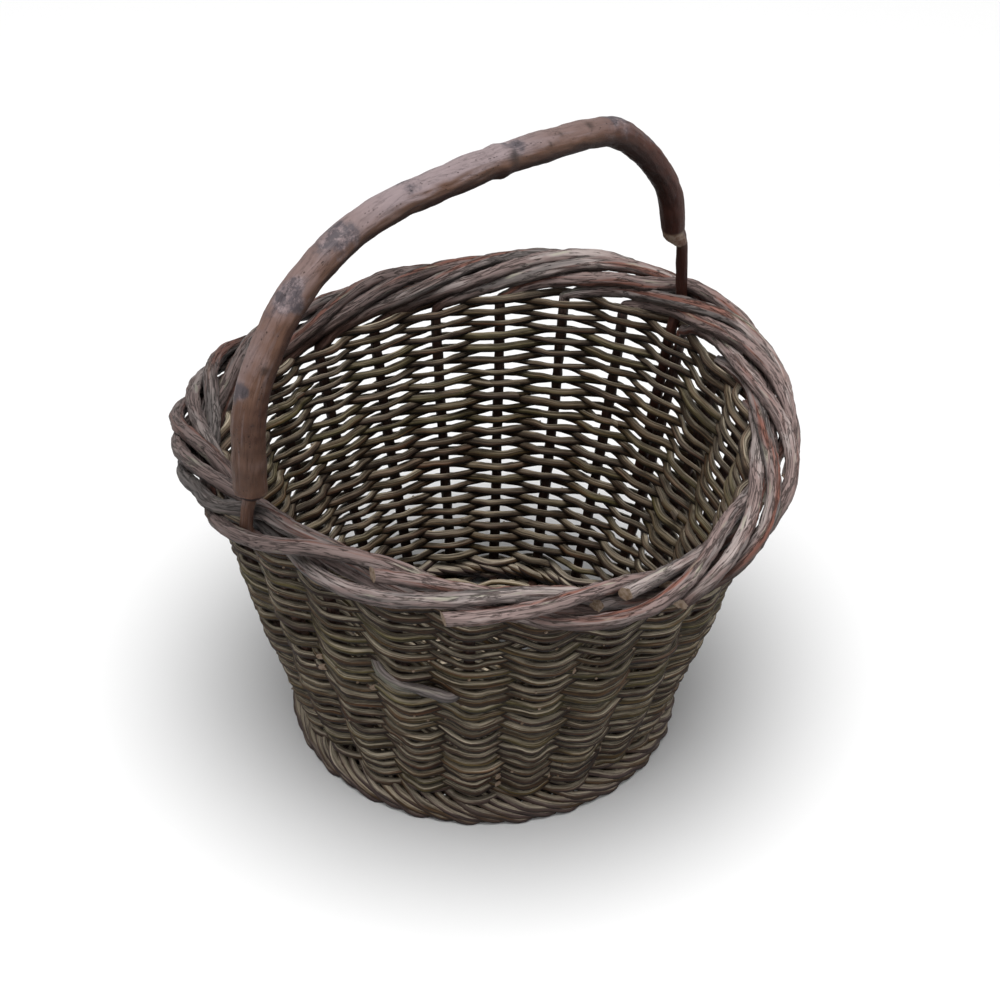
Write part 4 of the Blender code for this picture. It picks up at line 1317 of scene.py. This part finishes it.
class BASKET_OT_base(BasketOperator):
    """Cross the base sticks, tie them and weave round them."""

    bl_idname = "basket.base"
    bl_label = "Base"

    STEPS = 6
    ROUND_STEPS = 8
    EACH_WAY = STICKS // 2
    # How much flatter than a sine the crests of the base's weaving are
    FLAT_CREST = 1.25

    def layer(self, radius):
        """How far over or under the base's middle the sticks lie at this radius."""
        plan = self.plan
        full = plan.sizes.stick_radius + plan.CLEARANCE / 2
        inner = 2 * (2 * plan.sizes.stick_radius + plan.CLEARANCE)
        outer = plan.BASE_WEAVE_INNER_RADIUS
        return full * min(1, max(0, (outer - radius) / (outer - inner)))

    def sticks(self, plan):
        beside = 2 * plan.sizes.stick_radius + plan.CLEARANCE
        middle_radius = (plan.stick_end + plan.BASE_WEAVE_INNER_RADIUS) / 2
        parting = beside / math.sin(plan.stick_pitch)
        radii = (plan.stick_end, middle_radius, plan.BASE_WEAVE_INNER_RADIUS, parting)
        for index in range(STICKS):
            across, number = divmod(index, self.EACH_WAY)
            fan = plan.stick_pitch * (number - self.EACH_WAY // 2)
            middle = plan.stick_angle(0) + across * math.pi / 2
            up = -1 if across else 1
            half = [(radius, plan.base_height(radius) + up * self.layer(radius)) for radius in radii]
            points = [at(radius, middle + fan, height) for radius, height in half]
            points += [at(radius, middle + math.pi - fan, height) for radius, height in reversed(half)]
            rods = [even_rod(smooth(points, self.STEPS), plan.sizes.stick_radius)]
            values = bark_values(
                300 + index, "base_bark", Sides=16, Furrow=0.0003, Furrow_Width=0.002, Slant=0.2
            )
            lay_rods(f"crossed_stick_{index + 1}", rods, values, "base_willow", f"base_stick_{index + 1}")

    def tie(self, plan):
        level = self.layer(plan.TIE_RING_RADIUS)
        off = plan.sizes.stick_radius + plan.sizes.tie_radius
        points = []
        for end in range(plan.stick_ends):
            upper = (end + self.EACH_WAY // 2) // self.EACH_WAY % 2 == 0
            height = plan.base_height(plan.TIE_RING_RADIUS) + (level - off if upper else off - level)
            points.append(at(plan.TIE_RING_RADIUS, plan.stick_angle(end), height))
        rod = even_rod(smooth(points, self.STEPS, closed=True), plan.sizes.tie_radius, closed=True)
        lay_rods("tie_rod", [rod], bark_values(320, "base_bark"), "base_willow", "base_tie")

    def woven(self, plan, number):
        """One round of the base's weaving, counted from the middle."""
        sizes = plan.sizes
        inner = plan.BASE_WEAVE_INNER_RADIUS
        spread = plan.stick_end - plan.BASE_WEAVE_EDGE_GAP - inner
        radius = inner + spread * (number + 0.5) / sizes.base_rounds
        path = []
        for step in range(plan.stick_ends * self.ROUND_STEPS):
            ends = step / self.ROUND_STEPS
            wave = math.cos(math.pi * (ends + number))
            wave = math.copysign(min(abs(wave) * self.FLAT_CREST, 1), wave)
            up = (sizes.stick_radius + sizes.base_weaver_radius) * wave
            angle = plan.stick_angle(0) + ends * plan.stick_pitch
            path.append(at(radius, angle, plan.base_height(radius) + up))
        return even_rod(path, sizes.base_weaver_radius, closed=True)

    def build(self):
        plan = self.plan
        self.sticks(plan)
        self.tie(plan)
        shares = [round(course * plan.sizes.base_rounds / BASE_COURSES) for course in range(BASE_COURSES + 1)]
        for course in range(BASE_COURSES):
            rods = [self.woven(plan, number) for number in range(*shares[course:course + 2])]
            values = bark_values(340 + course, "base_bark", Sides=8, Furrow=0.0002, Furrow_Width=0.002)
            lay_rods(f"base_rods_{course + 1}", rods, values, "base_willow", f"base_course_{course + 1}")


class BASKET_OT_handle(BasketOperator):
    """Bend the branch over the basket. Its ends are notched, and half of each runs down beside a stake."""

    bl_idname = "basket.handle"
    bl_label = "Bow handle"

    BOW_SHARES = (
        (-0.98, 0.25), (-0.965, 0.44), (-0.918, 0.59), (-0.818, 0.765), (-0.695, 0.885), (-0.554, 0.965),
        (-0.393, 1.0), (-0.227, 1.0), (-0.052, 0.998), (0.12, 0.98), (0.30, 0.957), (0.465, 0.93),
        (0.605, 0.88), (0.735, 0.755), (0.835, 0.62), (0.9, 0.49), (0.925, 0.37),
    )
    TAPER_POWER = 3
    # The height of a notch's upper edge over the border, how far it slants down and how far it shifts in
    BUTT_NOTCH = (0.014, 0.005, 0.0035)
    TIP_NOTCH = (0.046, 0.012, 0.0117)
    NOTCH_RINGS = 4
    NOTCH_POWER = 0.7
    TAIL_LEAN = 0.0025
    STEPS = 14
    TAIL_STEPS = 6
    # About how far apart the bow's points lie
    BOW_STEP = 0.003
    NODE_SHARE = 0.53
    NODE_SPREAD = 0.006
    NODE_SWELL = 0.1

    def end(self, side, rods_inside, notch):
        """Points of an end from its bottom up to just above its notch, its span and the rim's height."""
        plan = self.plan
        height, drop, shift = notch
        span = plan.border_radius + plan.tail_seat(rods_inside)
        middle = plan.border_height + plan.rim_lift(0)
        rim_top = middle + plan.border_high + plan.sizes.stake_radius
        points = [plan.wall_point(share, 0) for share in plan.TAIL_SHARES]
        points.append(at(span, 0, middle - plan.sizes.stake_radius))
        points.append(at(span, 0, rim_top))
        points.append(at(span - self.TAIL_LEAN, 0, rim_top + height - drop))
        points.append(at(span - shift, 0, rim_top + height))
        return [Vector((side * point.x, point.y, point.z)) for point in points], span, rim_top

    def step_between(self, first, last):
        return [first.lerp(last, ring) for ring in self.rings()]

    def rings(self):
        return [index / (self.NOTCH_RINGS + 1) for index in range(1, self.NOTCH_RINGS + 1)]

    def path(self):
        """Points of the branch and its half thickness at each."""
        plan, sizes = self.plan, self.plan.sizes
        butt, butt_span, rim_top = self.end(-1, plan.RODS_INSIDE_BUTT, self.BUTT_NOTCH)
        tip, tip_span, _ = self.end(1, plan.RODS_INSIDE_TIP, self.TIP_NOTCH)
        rise = sizes.handle_top - sizes.butt_radius - rim_top
        bow = [butt.pop()]
        for out, up in self.BOW_SHARES:
            bow.append(Vector(((tip_span if out > 0 else butt_span) * out, 0, rim_top + rise * up)))
        bow.append(tip.pop())
        bow = smooth(bow, self.STEPS)
        thick = []
        for step in range(len(bow)):
            share = step / (len(bow) - 1)
            off = (share - self.NODE_SHARE) * len(bow) * self.BOW_STEP / self.NODE_SPREAD
            full = sizes.butt_radius + (sizes.tip_radius - sizes.butt_radius) * share**self.TAPER_POWER
            thick.append(full * (1 + self.NODE_SWELL * math.exp(-(off**2))))
        butt, tip = smooth(butt, self.TAIL_STEPS), smooth(tip, self.TAIL_STEPS)[::-1]
        points = butt + self.step_between(butt[-1], bow[0]) + bow + self.step_between(bow[-1], tip[0]) + tip
        thin = sizes.tail_radius
        opening, closing = (
            [thin + (full - thin) * share**self.NOTCH_POWER for share in self.rings()]
            for full in (thick[0], thick[-1])
        )
        return points, [thin] * len(butt) + opening + thick + closing[::-1] + [thin] * len(tip)

    def on_bark(self, points, thickness, share, turned):
        """The place on the bark this far along the branch and this far round from its top to the front."""
        index = round(share * (len(points) - 1))
        side = (points[index + 1] - points[index]).normalized().cross(Vector((0, 1, 0)))
        if side.z < 0:
            side = -side
        outward = side * math.cos(turned) + Vector((0, -1, 0)) * math.sin(turned)
        return points[index] + outward * thickness[index]

    def build(self):
        points, thickness = self.path()
        values = bark_values(
            400, "branch_bark", Sides=48, Lump=0.1, Lump_Length=0.024, Furrow=0.0005, Furrow_Width=0.0045,
            Furrow_Length=0.03, Slant=0.5,
        )
        thick = [index for index, half in enumerate(thickness) if half > self.plan.sizes.tail_radius]
        values["Butt Notch"] = run_length(points[:thick[0] + 1])
        values["Tip Notch"] = run_length(points[:thick[-1] + 1])
        for label, places in (("Knot", KNOTS), ("Slate", SLATES)):
            for number, (share, turned, spread, *height) in enumerate(places, start=1):
                values[f"{label} {number}"] = self.on_bark(points, thickness, share, turned)
                values[f"{label} {number} Spread"] = spread
                if height:
                    values[f"{label} {number} Height"] = height[0]
        rods = [(points, thickness, False)]
        lay_rods("branch_handle", rods, values, "handle_bark", "handle_bow", tree=branch_tree())


class BASKET_OT_stage(bpy.types.Operator):
    """Set up the floor, the lamps, the sky and the camera."""

    bl_idname = "basket.stage"
    bl_label = "Stage"

    FLOOR_RADIUS = 6.0
    FLOOR_ROUGHNESS = 0.9
    # Each lamp's name, the setting that holds its power, its width and its place
    LAMPS = (
        ("overhead_lamp", "lamp_power", 5.0, (-0.6, -0.5, 6.0)),
        ("left_fill", "fill_power", 1.2, (-1.5, -0.3, 0.8)),
        ("right_fill", "fill_power", 1.2, (0.4, -1.5, 0.8)),
    )
    LAMP_AIM = (0, 0, 0.12)

    def floor(self, stage):
        bpy.ops.mesh.primitive_circle_add(vertices=96, radius=self.FLOOR_RADIUS, fill_type="NGON")
        floor = bpy.context.object
        floor.name = "floor"
        coat = Coat("floor_paint")
        coat.put(coat.surface["Base Color"], (*stage.floor_colour, 1))
        coat.put(coat.surface["Roughness"], self.FLOOR_ROUGHNESS)
        floor.data.materials.append(coat.made)

    def place(self, scene, name, data, spot, sight):
        """An object at this spot that looks along this line of sight."""
        made = bpy.data.objects.new(name, data)
        made.location = spot
        made.rotation_mode = "QUATERNION"
        made.rotation_quaternion = Vector(sight).to_track_quat("-Z", "Y")
        scene.collection.objects.link(made)
        return made

    def lamp(self, scene, name, power, size, spot):
        light = bpy.data.lights.new(name, "AREA")
        light.energy = power
        light.shape = "DISK"
        light.size = size
        self.place(scene, name, light, spot, Vector(self.LAMP_AIM) - Vector(spot))

    def sky(self, scene, strength):
        world = bpy.data.worlds.new("studio_sky")
        world.use_nodes = True
        scene.world = world
        tree = Tree(world.node_tree.nodes, world.node_tree.links)
        path = tree.add("ShaderNodeLightPath")
        seen = tree.most(tree.most(path["Is Camera Ray"], path["Is Glossy Ray"]), path["Is Transmission Ray"])
        background = tree.nodes["Background"].inputs
        tree.put(background["Color"], (1, 1, 1, 1))
        tree.put(background["Strength"], seen * (1 - strength) + strength)

    def camera(self, scene, stage):
        data = bpy.data.cameras.new("camera")
        data.lens = stage.camera_lens
        scene.camera = self.place(scene, "camera", data, stage.camera_place, stage.camera_aim)
        scene.camera.rotation_quaternion @= Quaternion((0, 0, 1), stage.camera_roll)

    def execute(self, context):
        scene = context.scene
        stage = scene.basket_stage
        scene.view_settings.view_transform = "Standard"
        self.floor(stage)
        for name, power, size, spot in self.LAMPS:
            self.lamp(scene, name, getattr(stage, power), size, spot)
        self.sky(scene, stage.sky_strength)
        self.camera(scene, stage)
        return {"FINISHED"}


class BASKET_PT_panel(bpy.types.Panel):
    """Lists the basket's operators."""

    bl_label = "Foraging basket"
    bl_idname = "BASKET_PT_panel"
    bl_space_type = "VIEW_3D"
    bl_region_type = "UI"
    bl_category = "Basket"

    def draw(self, context):
        for operator in OPERATORS:
            self.layout.operator(operator.bl_idname)
        for group in (getattr(context.scene, name) for name in GROUPS):
            for name in group.__annotations__:
                self.layout.prop(group, name)


OPERATORS = (
    BASKET_OT_barks,
    BASKET_OT_wall,
    BASKET_OT_stakes,
    BASKET_OT_foot,
    BASKET_OT_base,
    BASKET_OT_handle,
    BASKET_OT_stage,
)
GROUPS = {"basket_sizes": BasketSizes, "basket_colours": BasketColours, "basket_stage": BasketStage}
CLASSES = (*GROUPS.values(), *OPERATORS, BASKET_PT_panel)


def register():
    for made in CLASSES:
        bpy.utils.register_class(made)
    for name, group in GROUPS.items():
        setattr(bpy.types.Scene, name, bpy.props.PointerProperty(type=group))


def unregister():
    for name in GROUPS:
        delattr(bpy.types.Scene, name)
    for made in reversed(CLASSES):
        bpy.utils.unregister_class(made)


def main():
    register()
    bpy.ops.basket.barks()
    bpy.ops.basket.wall()
    bpy.ops.basket.stakes()
    bpy.ops.basket.foot()
    bpy.ops.basket.base()
    bpy.ops.basket.handle()
    bpy.ops.basket.stage()
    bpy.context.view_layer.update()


if __name__ == "__main__":
    main()
